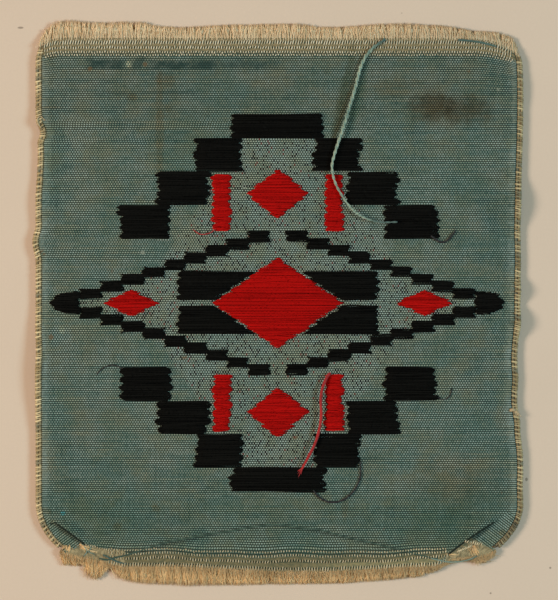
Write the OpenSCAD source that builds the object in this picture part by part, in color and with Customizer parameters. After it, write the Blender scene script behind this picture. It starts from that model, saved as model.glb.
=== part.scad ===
// A machine-woven cloth patch lying flat with its reverse side up.
// +Y is the top of the patch, +X its right side, +Z up from the surface it lies on.
// The origin is at the middle of the underside.

/* [Cloth] */
// Half of the width over the selvedge cords
half_w = 32.4; // [30:0.1:36]
// Distance from the centre to the top edge of the weave
top_y = 35.4; // [33:0.1:38]
// Distance from the centre to the bottom edge of the weave
bottom_y = 35.2; // [33:0.1:38]
// Thickness of the cloth
cloth_t = 1.0; // [1:0.1:2]

/* [Selvedge] */
// Width of one selvedge cord, seen from above
cord_w = 0.38; // [0.3:0.02:0.44]
// Height of one selvedge cord
cord_h = 0.9; // [0.5:0.05:0.9]
// Clear gap between neighbouring pieces
gap = 0.05; // [0.03:0.01:0.08]

/* [Fringe] */
// Farthest reach of both fringes from the centre
fringe_y = 37.9; // [36:0.1:40]
// Spacing of the locks along the fringe
lock_pitch = 1.15; // [0.9:0.05:1.6]
// Depth of the solid head that holds the locks
head_d = 0.9; // [0.6:0.1:1.2]

/* [Motif] */
// Height of the raised weft floats above the cloth
float_t = 0.42; // [0.3:0.02:0.6]
// How far the float ends run out of line at ragged edges
ragged = 0.28; // [0:0.02:0.4]
// Spacing of the small bundles along a ragged edge
bundle = 1.1; // [0.8:0.1:2]

/* [Loose thread] */
// Diameter of the pale loose thread
thread_d = 0.38; // [0.3:0.02:0.5]

/* [Hidden] */

LEFT = -1;
RIGHT = 1;

// Bulges and notches of the side edges, each [side, y, half length, outward]
EDGE_BULGES = [[LEFT, 36.0, 3.0, -0.50], [LEFT, 22.8, 1.4, -0.42], [LEFT, 20.0, 6.5, -0.28],
               [LEFT, 8.1, 2.4, 0.42], [LEFT, -6.5, 3.0, -0.10],
               [RIGHT, 36.0, 2.4, -0.25], [RIGHT, 27.0, 17.0, 0.38], [RIGHT, 6.0, 4.0, 0.08],
               [RIGHT, -7.5, 5.5, -0.40], [RIGHT, -13.0, 3.4, -0.40], [RIGHT, -21.0, 4.2, 0.35],
               [RIGHT, -26.5, 6.0, 0.38]];

// Lifted stretches of the side edges, each [side, y, half length, height, reach inwards]
EDGE_LIFTS = [[LEFT, 24.0, 3.0, 0.25, 3.0], [LEFT, 13.5, 3.5, 0.25, 3.0], [LEFT, 7.8, 2.6, 0.20, 3.0],
              [LEFT, -8.9, 9.5, 0.85, 4.5], [RIGHT, 29.0, 3.5, 0.25, 3.0],
              [RIGHT, 13.4, 3.8, 1.05, 4.0], [RIGHT, 1.7, 1.8, 0.95, 3.0], [RIGHT, -2.6, 2.4, 1.15, 3.2]];

// Rounded bottom corners, each [side, radius along x, radius along y]
BOTTOM_CORNERS = [[LEFT, 10, 8.5], [RIGHT, 10, 8]];

// Stretches of the bottom edge that a fold takes up, and the bow that hangs lower, each [x, half length, rise]
BOTTOM_RISES = [[-25.0, 4.5, 0.85], [24.6, 4.5, 0.90], [3.0, 18.0, -0.70]];
BOTTOM_RISE_ROWS = 6;

// Top corners that are pulled down, each [side, distance of its start from the centre, drop]
TOP_CORNERS = [[LEFT, 28.5, 1.2], [RIGHT, 26.0, 2.4]];
TOP_CORNER_ROWS = 9;

// Corner pleats, each [side, x, y of the outer end, x, y of the inner end, height, width on the cloth side]
PLEATS = [[LEFT, -31.0, -29.3, -26.0, -32.8, 0.75, 1.8], [RIGHT, 29.3, -29.0, 22.4, -33.9, 0.55, 2.0]];
PLEAT_DROP = 0.6;

// Faint crease that arches over the bottom edge, [x of its middle, y of its top, half span, drop, height]
CREASE = [1.5, -29.7, 23, 5, 0.18];
CREASE_W = 0.9;

// Share of each grid column from the left edge to the right, closer together near the edges
COLUMN_STEPS = [0, 0.012, 0.028, 0.046, 0.068, 0.095, 0.13, 0.18, 0.25, 0.34, 0.43];
COLUMNS = concat(COLUMN_STEPS, [0.5], [for (i = [len(COLUMN_STEPS) - 1 : -1 : 0]) 1 - COLUMN_STEPS[i]]);

// Distance of each grid row from the bottom edge, closer together in the rounded corners
LOW_ROWS = [0, 0.15, 0.6, 1.2, 1.9, 2.6, 3.3, 4.0, 4.7, 5.5, 6.5, 7.7, 9.0];
SIDE_ROWS = 44;
LOW_END = LOW_ROWS[len(LOW_ROWS) - 1] - bottom_y;
ROWS = concat([for (d = LOW_ROWS) d - bottom_y],
              [for (j = [1 : SIDE_ROWS]) LOW_END + (top_y - LOW_END) * j / SIDE_ROWS]);

// Where the fringe tips end, each [x, distance short of the farthest reach]
TOP_TIPS = [[-32.2, 3.4], [-31.2, 1.4], [-30.4, 0.5], [-29, 0.05], [-27.8, 0], [-24, 0.3], [-18.2, 0.2],
            [-15.8, 0.8], [-13, 0.95], [-6.4, 0.6], [3, 0.45], [5.6, 0.9], [8.3, 0.9], [13.6, 0.5],
            [16.8, 0.4], [21.6, 0.7], [23.8, 0.9], [25.7, 1.4], [29.7, 1.6], [31.3, 2.3], [32.2, 3.8]];
BOTTOM_TIPS = [[-29.4, 3.9], [-28.8, 2.8], [-26.8, 2.6], [-26.2, 3.2], [-25.6, 1.8], [-24.5, 0.6],
               [-23.4, 1.3], [-22.6, 2.5], [-21.7, 2.4], [-21, 1.0], [-19.8, 0.5], [-17, 0.2], [-12, 0],
               [8.3, 0.3], [13.6, 0.65], [19, 1.2], [21.1, 1.9], [22.3, 2.7], [24, 3.2], [25.5, 3.3],
               [26.7, 3.0], [27.8, 3.1], [28.8, 3.9]];

// Stepped bars of one quarter, each [inner x, outer x, lowest y, highest y]
TIERS = [[5.0, 11.0, 17.6, 21.9], [9.4, 16.0, 13.1, 17.5], [14.4, 21.2, 8.6, 13.0]];
// Red bar of one quarter as [inner x, outer x, lowest y, highest y]
BAR = [6.4, 8.7, 9.6, 17.1];
// End bar as [half width, lowest y, highest y]
CAP = [6.2, 22.0, 25.2];
// Long lozenge as [x of the arm's outer end, y of its inner end, x of its inner end, thickness]
ARM = [26.3, 9.6, 1.2, 1.4];
ARM_SLOPE_Y = 1.0;
ARM_STEPS = 9;
// Black tip as [inner x, outer x, half height]
TIP = [26.5, 30.3, 1.5];
// Red lozenges as [half width, half height]
CENTRE = [8.6, 6.0];
SMALL = [4.1, 3.3];
SMALL_Y = 14.6;
DIAMOND = [3.7, 1.7];
DIAMOND_X = 19.6;
// Black wedge as [outer x, highest y], beside the centre lozenge
WEDGE = [13.4, 4.2];
WEDGE_GAP = 0.55;

// Route of the loose thread as [x, y, z]
ROUTE = [[14.3, 35.2, 1.3], [12.4, 33.8, 1.35], [11.1, 31.7, 1.4], [10.3, 28.7, 1.4], [9.6, 26.4, 1.5],
         [8.7, 23.4, 1.7], [7.7, 20.4, 1.75], [7.2, 18.3, 1.75], [7.5, 16.4, 1.7], [8.3, 14.7, 1.7],
         [9.6, 12.8, 1.75], [11.2, 11.5, 1.75], [13.4, 10.8, 1.75], [15.9, 10.8, 1.75]];
ROUTE_PARTS = 3;
THREAD_SIDES = 8;
CORD_SIDES = 6;

CREAM = [0.78, 0.69, 0.52];
TEAL = [0.32, 0.39, 0.33];
PALE_TEAL = [0.52, 0.66, 0.66];
BLACK = [0.04, 0.04, 0.035];
RED = [0.60, 0.05, 0.04];

// Smooth hump, 1 at the middle and 0 from t = 1 outwards
function hump(t) = abs(t) < 1 ? pow(1 - t * t, 2) : 0;
function add(v, i = 0) = i < len(v) ? v[i] + add(v, i + 1) : 0;
function mix(a, b, t) = a + (b - a) * t;
// A repeatable value from -1 to 1 that looks uneven
function uneven(i) = sin(i * 137.5) * 0.6 + sin(i * 61.3 + 40) * 0.4;

// Distance of the side outline from the middle line at height y
function bulge(side, y) = add([for (b = EDGE_BULGES) b[0] == side ? b[3] * hump((y - b[1]) / b[2]) : 0]);
function corner(side, y) =
    add([for (c = BOTTOM_CORNERS) let (low = c[2] - bottom_y - y)
         c[0] == side && low > 0 ? c[1] * (1 - sqrt(max(0, 1 - pow(low / c[2], 2)))) : 0]);
function side_x(side, y) = half_w + bulge(side, y) - corner(side, y);

// How far the top corners are pulled down at x
function top_drop(x) =
    add([for (c = TOP_CORNERS) x * c[0] > c[1] ? c[2] * pow((x * c[0] - c[1]) / (half_w - c[1]), 2) : 0]);
function top_edge(x) = top_y - top_drop(x);

// Height of the rounded bottom edge at x, before and after the folds take it up
function round_bottom(x) =
    -bottom_y + add([for (c = BOTTOM_CORNERS) let (d = c[1] - half_w + x * c[0])
                     d > 0 ? c[2] * (1 - sqrt(max(0, 1 - pow(d / c[1], 2)))) : 0]);
function bottom_rise(x, y) =
    add([for (r = BOTTOM_RISES) r[2] * hump((x - r[0]) / r[1])])
    * pow(max(0, 1 - (y + bottom_y) / BOTTOM_RISE_ROWS), 2);
function bottom_edge(x) = let (y = round_bottom(x)) y + bottom_rise(x, y);

// Lift of the side edges above the surface
function edge_lift(x, y) =
    add([for (l = EDGE_LIFTS) let (d = side_x(l[0], y) - x * l[0])
         d < l[4] ? l[3] * hump((y - l[1]) / l[2]) * pow(min(1, 1 - d / l[4]), 2) : 0]);

// Height of the corner pleats: rounded on the cloth side, steep on the corner side
function pleat(x, y) =
    add([for (p = PLEATS) let (ux = p[3] - p[1], uy = p[4] - p[2], long = norm([ux, uy]),
                               share = ((x - p[1]) * ux + (y - p[2]) * uy) / (long * long),
                               inward = -p[0] * ((y - p[2]) * ux - (x - p[1]) * uy) / long)
         p[5] * hump((share - 0.5) / 0.75) * hump(inward / (inward > 0 ? p[6] : PLEAT_DROP))]);

// Height of the faint crease
function crease(x, y) =
    let (t = (x - CREASE[0]) / CREASE[2], line = CREASE[1] - CREASE[3] * t * t)
    CREASE[4] * hump(t / 1.1) * hump((y - line) / CREASE_W);

function under(x, y) = edge_lift(x, y) + 0.8 * pleat(x, y);
function over(x, y) = cloth_t + edge_lift(x, y) + pleat(x, y) + crease(x, y);

// Length of the side outline for each unit of y
function stretch(side, y) = norm([1, (side_x(side, y + 0.1) - side_x(side, y - 0.1)) / 0.2]);

// Clear strip at each side that holds the two selvedge cords, closed below their ends
STRIP = 2 * cord_w + 2 * gap;
CORD_END_Y = -32.6;
CORD_TOP_Y = top_y - 0.25;
function strip(side, y) = STRIP * max(0, min(1, (y - CORD_END_Y) / 0.5 + 1)) * stretch(side, y);

// Points of the cloth grid
function grid_x(u, y) = mix(strip(LEFT, y) - side_x(LEFT, y), side_x(RIGHT, y) - strip(RIGHT, y), u);
function grid_y(x, y) =
    y + bottom_rise(x, y) - top_drop(x) * pow(max(0, 1 - (top_y - y) / TOP_CORNER_ROWS), 2);
function grid_point(u, row) = let (x = grid_x(u, row), y = grid_y(x, row)) [x, y];

module ground_cloth() {
    nu = len(COLUMNS);
    nv = len(ROWS);
    flat_points = [for (row = ROWS) for (u = COLUMNS) grid_point(u, row)];
    half = len(flat_points);
    points = concat([for (p = flat_points) [p[0], p[1], under(p[0], p[1])]],
                    [for (p = flat_points) [p[0], p[1], over(p[0], p[1])]]);
    rim = concat([for (i = [0 : nu - 1]) i],
                 [for (j = [1 : nv - 1]) j * nu + nu - 1],
                 [for (i = [nu - 2 : -1 : 0]) (nv - 1) * nu + i],
                 [for (j = [nv - 2 : -1 : 1]) j * nu]);
    cells = [for (j = [0 : nv - 2]) for (i = [0 : nu - 2]) j * nu + i];
    faces = concat(
        [for (c = cells) [c, c + 1, c + nu + 1]],
        [for (c = cells) [c, c + nu + 1, c + nu]],
        [for (c = cells) [half + c, half + c + nu + 1, half + c + 1]],
        [for (c = cells) [half + c, half + c + nu, half + c + nu + 1]],
        [for (k = [0 : len(rim) - 1]) let (a = rim[k], b = rim[(k + 1) % len(rim)]) [a, half + a, half + b]],
        [for (k = [0 : len(rim) - 1]) let (a = rim[k], b = rim[(k + 1) % len(rim)]) [a, half + b, b]]);
    color(TEAL) polyhedron(points, faces);
}

// Tube through a list of points, with an oval section that stays upright
module tube(path, width, height, sides) {
    n = len(path);
    ring = [for (p = [0 : n - 1])
            let (ahead = path[min(n - 1, p + 1)], back = path[max(0, p - 1)],
                 along = [ahead[0] - back[0], ahead[1] - back[1]], out = [along[1], -along[0]] / norm(along))
            [for (k = [0 : sides - 1]) let (a = 360 * (k + 0.5) / sides)
             path[p] + [out[0] * cos(a) * width / 2, out[1] * cos(a) * width / 2, sin(a) * height / 2]]];
    points = [for (r = ring) for (q = r) q];
    faces = concat(
        [[for (k = [0 : sides - 1]) k]],
        [[for (k = [sides - 1 : -1 : 0]) (n - 1) * sides + k]],
        [for (p = [0 : n - 2]) for (k = [0 : sides - 1]) let (m = (k + 1) % sides)
         [p * sides + k, (p + 1) * sides + k, (p + 1) * sides + m]],
        [for (p = [0 : n - 2]) for (k = [0 : sides - 1]) let (m = (k + 1) % sides)
         [p * sides + k, (p + 1) * sides + m, p * sides + m]]);
    polyhedron(points, faces);
}

// One edge cord, with a ring at each row of the cloth grid that it passes
module selvedge(side, inset) {
    rows = concat([CORD_END_Y], [for (y = ROWS) if (y > CORD_END_Y + 0.2 && y < CORD_TOP_Y - 0.2) y],
                  [CORD_TOP_Y]);
    path = [for (y = rows) let (x = side * (side_x(side, y) - inset * stretch(side, y)))
            [x, grid_y(x, y), cloth_t / 2 + edge_lift(x, y)]];
    color(CREAM) tube(path, cord_w, cord_h, CORD_SIDES);
}

// One fringe: a head along the cloth's edge and tapered locks that reach the tips
module fringe(tips, way, first, last) {
    base_z = 0.15;
    function root(x) = way > 0 ? top_edge(x) + gap : bottom_edge(x) - gap;
    function tip_at(x) = way * (fringe_y - lookup(x, tips));
    function along(x, share) = mix(root(x), tip_at(x), share);
    count = floor((last - first) / lock_pitch);
    edges = [for (i = [0 : count]) mix(first, last, i / count)];
    color(CREAM) union() {
        translate([0, 0, base_z]) linear_extrude(cloth_t - 2 * base_z) polygon(concat(
            [for (x = edges) [x, root(x)]],
            [for (i = [count : -1 : 0]) let (x = edges[i])
             [x, root(x) + way * min(head_d, 0.6 * abs(tip_at(x) - root(x)))]]));
        for (i = [0 : count - 1])
            let (a = edges[i], b = edges[i + 1], x = (a + b) / 2 + 0.22 * lock_pitch * uneven(i),
                 low = base_z * (1 + 0.6 * uneven(i + 5)), high = cloth_t - base_z + 0.12 * uneven(i + 9))
            translate([0, 0, low]) linear_extrude(high - low) polygon([
                [a - gap, root(a) + way * 0.2], [b + gap, root(b) + way * 0.2],
                [x + 0.42 * lock_pitch, along(x, 0.84)], [x + 0.12 * lock_pitch, tip_at(x)],
                [x - 0.20 * lock_pitch, along(x, 0.97)], [x - 0.44 * lock_pitch, along(x, 0.80)]]);
    }
}

// Pad of weft floats with its underside just above the cloth
module pad(colour, points) {
    color(colour) translate([0, 0, cloth_t + gap]) linear_extrude(float_t) polygon(points);
}

// Ragged end of a block of floats at about x, with a tooth for each bundle from y0 to y1
TOOTH = [[0, 0], [0.2, 1], [0.8, 1]];
function ragged_end(x, y0, y1, seed) =
    let (n = max(1, round(abs(y1 - y0) / bundle)))
    concat([for (i = [0 : n - 1]) for (s = TOOTH)
            [x + sign(x) * ragged * s[1] * (0.7 + 0.3 * uneven(i + seed)), mix(y0, y1, (i + s[0]) / n)]],
           [[x, y1]]);

// Bar with a straight inner end and a ragged outer end, from [inner x, outer x, lowest y, highest y]
module block(colour, t, sx, sy, seed) {
    outer = ragged_end(sx * (t[1] - ragged), sy * t[2], sy * t[3], seed + 2 * sx + sy);
    pad(colour, concat([[sx * t[0], sy * t[3]], [sx * t[0], sy * t[2]]], outer));
}

module tier(k, sx, sy) {
    block(BLACK, TIERS[k], sx, sy, 7 * k);
}

module bar(sx, sy) {
    block(RED, BAR, sx, sy, 30);
}

module cap(sy) {
    right = ragged_end(CAP[0] - ragged, sy * CAP[1], sy * CAP[2], 3);
    left = ragged_end(ragged - CAP[0], sy * CAP[2], sy * CAP[1], 5);
    pad(BLACK, concat(right, left));
}

// Stepped arm of the long lozenge
module arm(sx, sy) {
    dx = (ARM[0] - ARM[2]) / ARM_STEPS;
    dy = (ARM[1] - ARM_SLOPE_Y) / ARM_STEPS;
    low = [for (i = [0 : ARM_STEPS - 1]) for (s = [0, 1])
           [sx * (ARM[2] + dx * (i + s)), sy * (ARM[1] - dy * i - ARM[3])]];
    high = [for (i = [ARM_STEPS - 1 : -1 : 0]) for (s = [1, 0])
            [sx * (ARM[2] + dx * (i + s)), sy * (ARM[1] - dy * i)]];
    pad(BLACK, concat(low, high));
}

module tip(sx) {
    n = 8;
    pad(BLACK, [for (i = [0 : n]) let (a = -90 + 180 * i / n)
                [sx * (TIP[0] + (TIP[1] - TIP[0]) * pow(cos(a), 0.8)), TIP[2] * sin(a)]]);
}

module lozenge(x, y, size) {
    pad(RED, [[x - size[0], y], [x, y - size[1]], [x + size[0], y], [x, y + size[1]]]);
}

// Black wedge between the centre lozenge and a straight outer end
module wedge(sx, sy) {
    gap_x = CENTRE[0] + WEDGE_GAP;
    slope = CENTRE[1] / CENTRE[0];
    top_x = gap_x - WEDGE[1] / slope;
    outer = ragged_end(sx * (WEDGE[0] - ragged), sy * 0.35, sy * WEDGE[1], 4 + sx - sy);
    pad(BLACK, concat([[sx * (gap_x - 0.35 / slope), sy * 0.35]], outer, [[sx * top_x, sy * WEDGE[1]]]));
}

// Catmull-Rom curve through the route
function curve(a, b, c, d, t) =
    0.5 * (2 * b + (c - a) * t + (2 * a - 5 * b + 4 * c - d) * t * t + (3 * b - a - 3 * c + d) * t * t * t);
module loose_thread() {
    last = len(ROUTE) - 1;
    path = concat([for (i = [0 : last - 1]) for (k = [0 : ROUTE_PARTS - 1])
                   curve(ROUTE[max(0, i - 1)], ROUTE[i], ROUTE[i + 1], ROUTE[min(last, i + 2)],
                         k / ROUTE_PARTS)], [ROUTE[last]]);
    color(PALE_TEAL) tube(path, thread_d, thread_d, THREAD_SIDES);
}

OUTER = cord_w / 2;
INNER = OUTER + cord_w + gap;
ground_cloth();
selvedge(LEFT, OUTER);  // selvedge_left_outer
selvedge(LEFT, INNER);  // selvedge_left_inner
selvedge(RIGHT, OUTER);  // selvedge_right_outer
selvedge(RIGHT, INNER);  // selvedge_right_inner
fringe(TOP_TIPS, 1, -32.0, 32.0);  // fringe_top
fringe(BOTTOM_TIPS, -1, -29.0, 29.0);  // fringe_bottom
cap(1);  // cap_top
cap(-1);  // cap_bottom
tier(0, -1, 1);  // tier_1_top_left
tier(0, 1, 1);  // tier_1_top_right
tier(0, -1, -1);  // tier_1_bottom_left
tier(0, 1, -1);  // tier_1_bottom_right
tier(1, -1, 1);  // tier_2_top_left
tier(1, 1, 1);  // tier_2_top_right
tier(1, -1, -1);  // tier_2_bottom_left
tier(1, 1, -1);  // tier_2_bottom_right
tier(2, -1, 1);  // tier_3_top_left
tier(2, 1, 1);  // tier_3_top_right
tier(2, -1, -1);  // tier_3_bottom_left
tier(2, 1, -1);  // tier_3_bottom_right
arm(-1, 1);  // arm_upper_left
arm(1, 1);  // arm_upper_right
arm(-1, -1);  // arm_lower_left
arm(1, -1);  // arm_lower_right
bar(-1, 1);  // bar_top_left
bar(1, 1);  // bar_top_right
bar(-1, -1);  // bar_bottom_left
bar(1, -1);  // bar_bottom_right
tip(-1);  // tip_left
tip(1);  // tip_right
lozenge(0, 0, CENTRE);  // centre_lozenge
wedge(-1, 1);  // wedge_upper_left
wedge(1, 1);  // wedge_upper_right
wedge(-1, -1);  // wedge_lower_left
wedge(1, -1);  // wedge_lower_right
lozenge(0, SMALL_Y, SMALL);  // lozenge_top
lozenge(0, -SMALL_Y, SMALL);  // lozenge_bottom
lozenge(-DIAMOND_X, 0, DIAMOND);  // diamond_left
lozenge(DIAMOND_X, 0, DIAMOND);  // diamond_right
loose_thread();
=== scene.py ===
"""Woven formation patch, lying with its reverse side up on a pale board.

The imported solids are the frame, and every piece here is built over them. Sizes are in millimetres, as
in the part's source, and turn into metres when a mesh is made.
"""

import logging
import math
from collections.abc import Mapping, Sequence
from dataclasses import dataclass, field
from enum import Enum, IntEnum

import bpy
import numpy as np
from mathutils.geometry import delaunay_2d_cdt
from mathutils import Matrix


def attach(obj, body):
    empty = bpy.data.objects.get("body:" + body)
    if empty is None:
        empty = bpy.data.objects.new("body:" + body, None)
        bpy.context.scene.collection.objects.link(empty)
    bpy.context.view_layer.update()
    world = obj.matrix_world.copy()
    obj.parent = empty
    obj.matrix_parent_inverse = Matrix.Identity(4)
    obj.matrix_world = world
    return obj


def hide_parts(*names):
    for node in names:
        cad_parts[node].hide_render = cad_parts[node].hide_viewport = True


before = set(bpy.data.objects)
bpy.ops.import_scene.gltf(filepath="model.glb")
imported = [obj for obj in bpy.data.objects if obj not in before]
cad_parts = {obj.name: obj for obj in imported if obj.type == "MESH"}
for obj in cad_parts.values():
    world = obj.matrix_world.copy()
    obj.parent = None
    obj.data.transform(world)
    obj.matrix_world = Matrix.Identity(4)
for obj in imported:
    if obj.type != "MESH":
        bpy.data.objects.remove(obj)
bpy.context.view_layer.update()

LOG = logging.getLogger("patch")
MM = 0.001
BODY = "root"
BAKE_MAP = "OFBake"
THREAD_MAP = "threads"
SHADE = "shade"
# Reach of a point that lies outside every outline by far
FAR_OUT = -9.0

Array = np.ndarray
Material = bpy.types.Material
Piece = bpy.types.Object
Colour = tuple[float, float, float]
Table = tuple[tuple[float, ...], ...]
Point = tuple[float, float]
Ring = list[Point]
WHITE: Colour = (1.0, 1.0, 1.0)


class Side(IntEnum):
    """Side of the patch, as the sign of x."""

    LEFT = -1
    RIGHT = 1


class Way(IntEnum):
    """End of the patch, as the sign of y."""

    BOTTOM = -1
    TOP = 1


class Yarn(Enum):
    """Yarn of a raised float, with the record's material slot."""

    BLACK = "black_float"
    RED = "red_float"


def hump(t: Array | float) -> Array:
    """Give a smooth hump, 1 at the middle and 0 from t = 1 outwards."""
    t = np.asarray(t, float)
    return np.where(np.abs(t) < 1, (1 - t * t) ** 2, 0.0)


def ease(t: Array) -> Array:
    """Give a smooth step from 0 to 1 as t goes from 0 to 1."""
    t = np.clip(t, 0, 1)
    return t * t * (3 - 2 * t)


def uneven(i: Array | float) -> Array:
    """Give an uneven value from -1 to 1 for lock or bundle number i, the same one each time."""
    i = np.asarray(i, float)
    return np.sin(np.radians(i * 137.5)) * 0.6 + np.sin(np.radians(i * 61.3 + 40)) * 0.4


def unit(vectors: Array) -> Array:
    """Scale each vector to a length of 1."""
    return vectors / np.maximum(np.linalg.norm(vectors, axis=-1, keepdims=True), 1e-9)


def distances(path: Array) -> Array:
    """Give how far each point of a path lies along it."""
    steps = np.linalg.norm(np.diff(path, axis=-2), axis=-1)
    return np.concatenate([np.zeros((*steps.shape[:-1], 1)), np.cumsum(steps, axis=-1)], axis=-1)


def pair(x: Array, y: Array) -> Array:
    """Join two coordinates into places, spread to one shape."""
    return np.stack(np.broadcast_arrays(x, y), axis=-1)


def across(path: Array) -> tuple[Array, Array]:
    """Give the directions across a path.

    Args:
        path: Its points, or the points of several paths.

    Returns:
        The level direction and the upward one at each point.
    """
    ahead = unit(np.gradient(path, axis=-2))
    out = unit(np.cross(ahead, (0.0, 0.0, 1.0)))
    return out, np.cross(out, ahead)


@dataclass(frozen=True)
class ClothShape:
    """Outline, lifted edges and folds of the cloth, with the names of the part's source.

    The values are the source's too, but for the left pleat and the crease, which follow the photograph more
    closely, and for the groove, which only this script has.
    """

    half_w: float = 32.4
    top_y: float = 35.4
    bottom_y: float = 35.2
    cloth_t: float = 1.0
    cord_w: float = 0.38
    cord_h: float = 0.9
    gap: float = 0.05
    cord_end_y: float = -32.6
    top_corner_rows: float = 9.0
    pleat_drop: float = 0.6
    groove_deep: float = 0.42
    # Middle, height and half length of the crease, how far its ends lie lower, and how high it stands
    crease: tuple[float, ...] = (-0.8, -29.55, 18.2, 3.72, 0.18)
    crease_bow: float = 1.25
    crease_w: float = 0.9
    # Each row is side, y, half length, outward
    bulges: Table = ((-1, 36.0, 3.0, -0.50), (-1, 22.8, 1.4, -0.42), (-1, 20.0, 6.5, -0.28),
                     (-1, 8.1, 2.4, 0.42), (-1, -6.5, 3.0, -0.10), (1, 36.0, 2.4, -0.25),
                     (1, 27.0, 17.0, 0.38), (1, 6.0, 4.0, 0.08), (1, -7.5, 5.5, -0.40),
                     (1, -13.0, 3.4, -0.40), (1, -21.0, 4.2, 0.35), (1, -26.5, 6.0, 0.38))
    # Each row is side, y, half length, height, reach inwards
    lifts: Table = ((-1, 24.0, 3.0, 0.25, 3.0), (-1, 13.5, 3.5, 0.25, 3.0), (-1, 7.8, 2.6, 0.20, 3.0),
                    (-1, -8.9, 9.5, 0.85, 4.5), (1, 29.0, 3.5, 0.25, 3.0), (1, 13.4, 3.8, 1.05, 4.0),
                    (1, 1.7, 1.8, 0.95, 3.0), (1, -2.6, 2.4, 1.15, 3.2))
    # Each row is side, radius along x, radius along y
    bottom_corners: Table = ((-1, 10, 8.5), (1, 10, 8))
    # Each row is x, half length, rise
    bottom_rises: Table = ((-25.0, 4.5, 0.85), (24.6, 4.5, 0.90), (3.0, 18.0, -0.70))
    bottom_rise_rows: float = 6.0
    # Each row is side, distance of its start from the centre, drop
    top_corners: Table = ((-1, 28.5, 1.2), (1, 26.0, 2.4))
    # Each row is side, x and y of the outer end, x and y of the inner end, height, width
    pleats: Table = ((-1, -30.3, -28.95, -25.5, -32.5, 0.75, 1.8), (1, 29.3, -29.0, 22.4, -33.9, 0.55, 2.0))

    def straight_side(self, side: int, y: Array) -> Array:
        """Give the distance of the side outline from the middle at each y, without its rounded corner."""
        rows = [row for row in self.bulges if row[0] == side]
        return self.half_w + sum(out * hump((y - at) / half) for _, at, half, out in rows)

    def side_x(self, side: int, y: Array) -> Array:
        """Give the side outline with its rounded corner.

        Args:
            side: -1 for the left side, 1 for the right.
            y: Heights.

        Returns:
            Distance from the middle line at each y.
        """
        x = self.straight_side(side, y)
        for _, rx, ry in (row for row in self.bottom_corners if row[0] == side):
            low = np.clip(ry - self.bottom_y - y, 0, ry)
            x = x - rx * (1 - np.sqrt(1 - (low / ry) ** 2))
        return x

    def top_drop(self, x: Array) -> Array:
        """Give how far the top corners are pulled down at each x."""
        return sum(drop * (np.clip(x * side - start, 0, None) / (self.half_w - start)) ** 2
                   for side, start, drop in self.top_corners)

    def edge_y(self, way: int, x: Array) -> Array:
        """Give the height of the cloth's top or bottom edge.

        Args:
            way: -1 for the bottom edge, 1 for the top edge.
            x: Distances from the middle line.

        Returns:
            The height of the edge at each x.
        """
        if way > 0:
            return self.top_y - self.top_drop(x)
        y = -self.bottom_y + 0.0 * x
        for side, rx, ry in self.bottom_corners:
            past = np.clip(rx - self.half_w + x * side, 0, rx)
            y = y + ry * (1 - np.sqrt(1 - (past / rx) ** 2))
        return y + self.bottom_rise(x, y)

    def bottom_rise(self, x: Array, y: Array) -> Array:
        """Give how far the folds take each point of the bottom rows up, or their bow lets it down."""
        fade = np.clip(1 - (y + self.bottom_y) / self.bottom_rise_rows, 0, None) ** 2
        return sum(rise * hump((x - at) / half) for at, half, rise in self.bottom_rises) * fade

    def edge_lift(self, x: Array, y: Array) -> Array:
        """Give how far the side edges stand above the board at each point."""
        return sum(height * hump((y - at) / half)
                   * np.clip(1 - (self.side_x(side, y) - x * side) / reach, 0, 1) ** 2
                   for side, at, half, height, reach in self.lifts)

    def on_pleats(self, x: Array, y: Array) -> list[tuple[tuple[float, ...], Array, Array]]:
        """Give each point's place on both corner pleats.

        Args:
            x: Distances from the middle line.
            y: Heights.

        Returns:
            Row of each pleat, share along its fold line, and distance to the cloth side of it.
        """
        found = []
        for row in self.pleats:
            side, x0, y0, x1, y1 = row[:5]
            ux, uy = x1 - x0, y1 - y0
            long = math.hypot(ux, uy)
            share = ((x - x0) * ux + (y - y0) * uy) / long ** 2
            found.append((row, share, -side * ((y - y0) * ux - (x - x0) * uy) / long))
        return found

    def pleat(self, x: Array, y: Array) -> Array:
        """Give the height of the corner pleats at each point."""
        return sum(row[5] * hump((share - 0.5) / 0.75)
                   * hump(inward / np.where(inward > 0, row[6], self.pleat_drop))
                   for row, share, inward in self.on_pleats(x, y))

    def groove(self, x: Array, y: Array) -> Array:
        """Give how deep the cloth is pinched along the foot of each corner pleat."""
        return self.groove_deep * sum(hump((share - 0.5) / 0.66) * hump((inward + 0.22) / 0.34)
                                      for _, share, inward in self.on_pleats(x, y))

    def faint_crease(self, x: Array, y: Array) -> Array:
        """Give the height of the faint crease that arches over the bottom edge.

        Args:
            x: Distances from the middle line.
            y: Heights.

        Returns:
            The height at each point.
        """
        middle, top, half, drop, height = self.crease
        t = (x - middle) / half
        fall = drop * np.abs(t) ** self.crease_bow
        return height * hump(t / 1.3) * hump((y - top + fall) / self.crease_w)

    def under(self, x: Array, y: Array) -> Array:
        """Give the height of the cloth's underside at each point."""
        return self.edge_lift(x, y) + 0.8 * self.pleat(x, y)

    def over(self, x: Array, y: Array) -> Array:
        """Give the height of the cloth's upper side at each point."""
        raised = self.cloth_t + self.edge_lift(x, y) + self.pleat(x, y) + self.faint_crease(x, y)
        return raised - self.groove(x, y)

    def stretch(self, side: int, y: Array) -> Array:
        """Give the length of the side outline for each unit of y."""
        return np.hypot(1, (self.side_x(side, y + 0.1) - self.side_x(side, y - 0.1)) / 0.2)

    def strip(self, side: int, y: Array) -> Array:
        """Give the width of the clear strip that holds the two edge cords at each y."""
        width = 2 * self.cord_w + 2 * self.gap
        return width * np.clip((y - self.cord_end_y) / 0.5 + 1, 0, 1) * self.stretch(side, y)

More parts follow.
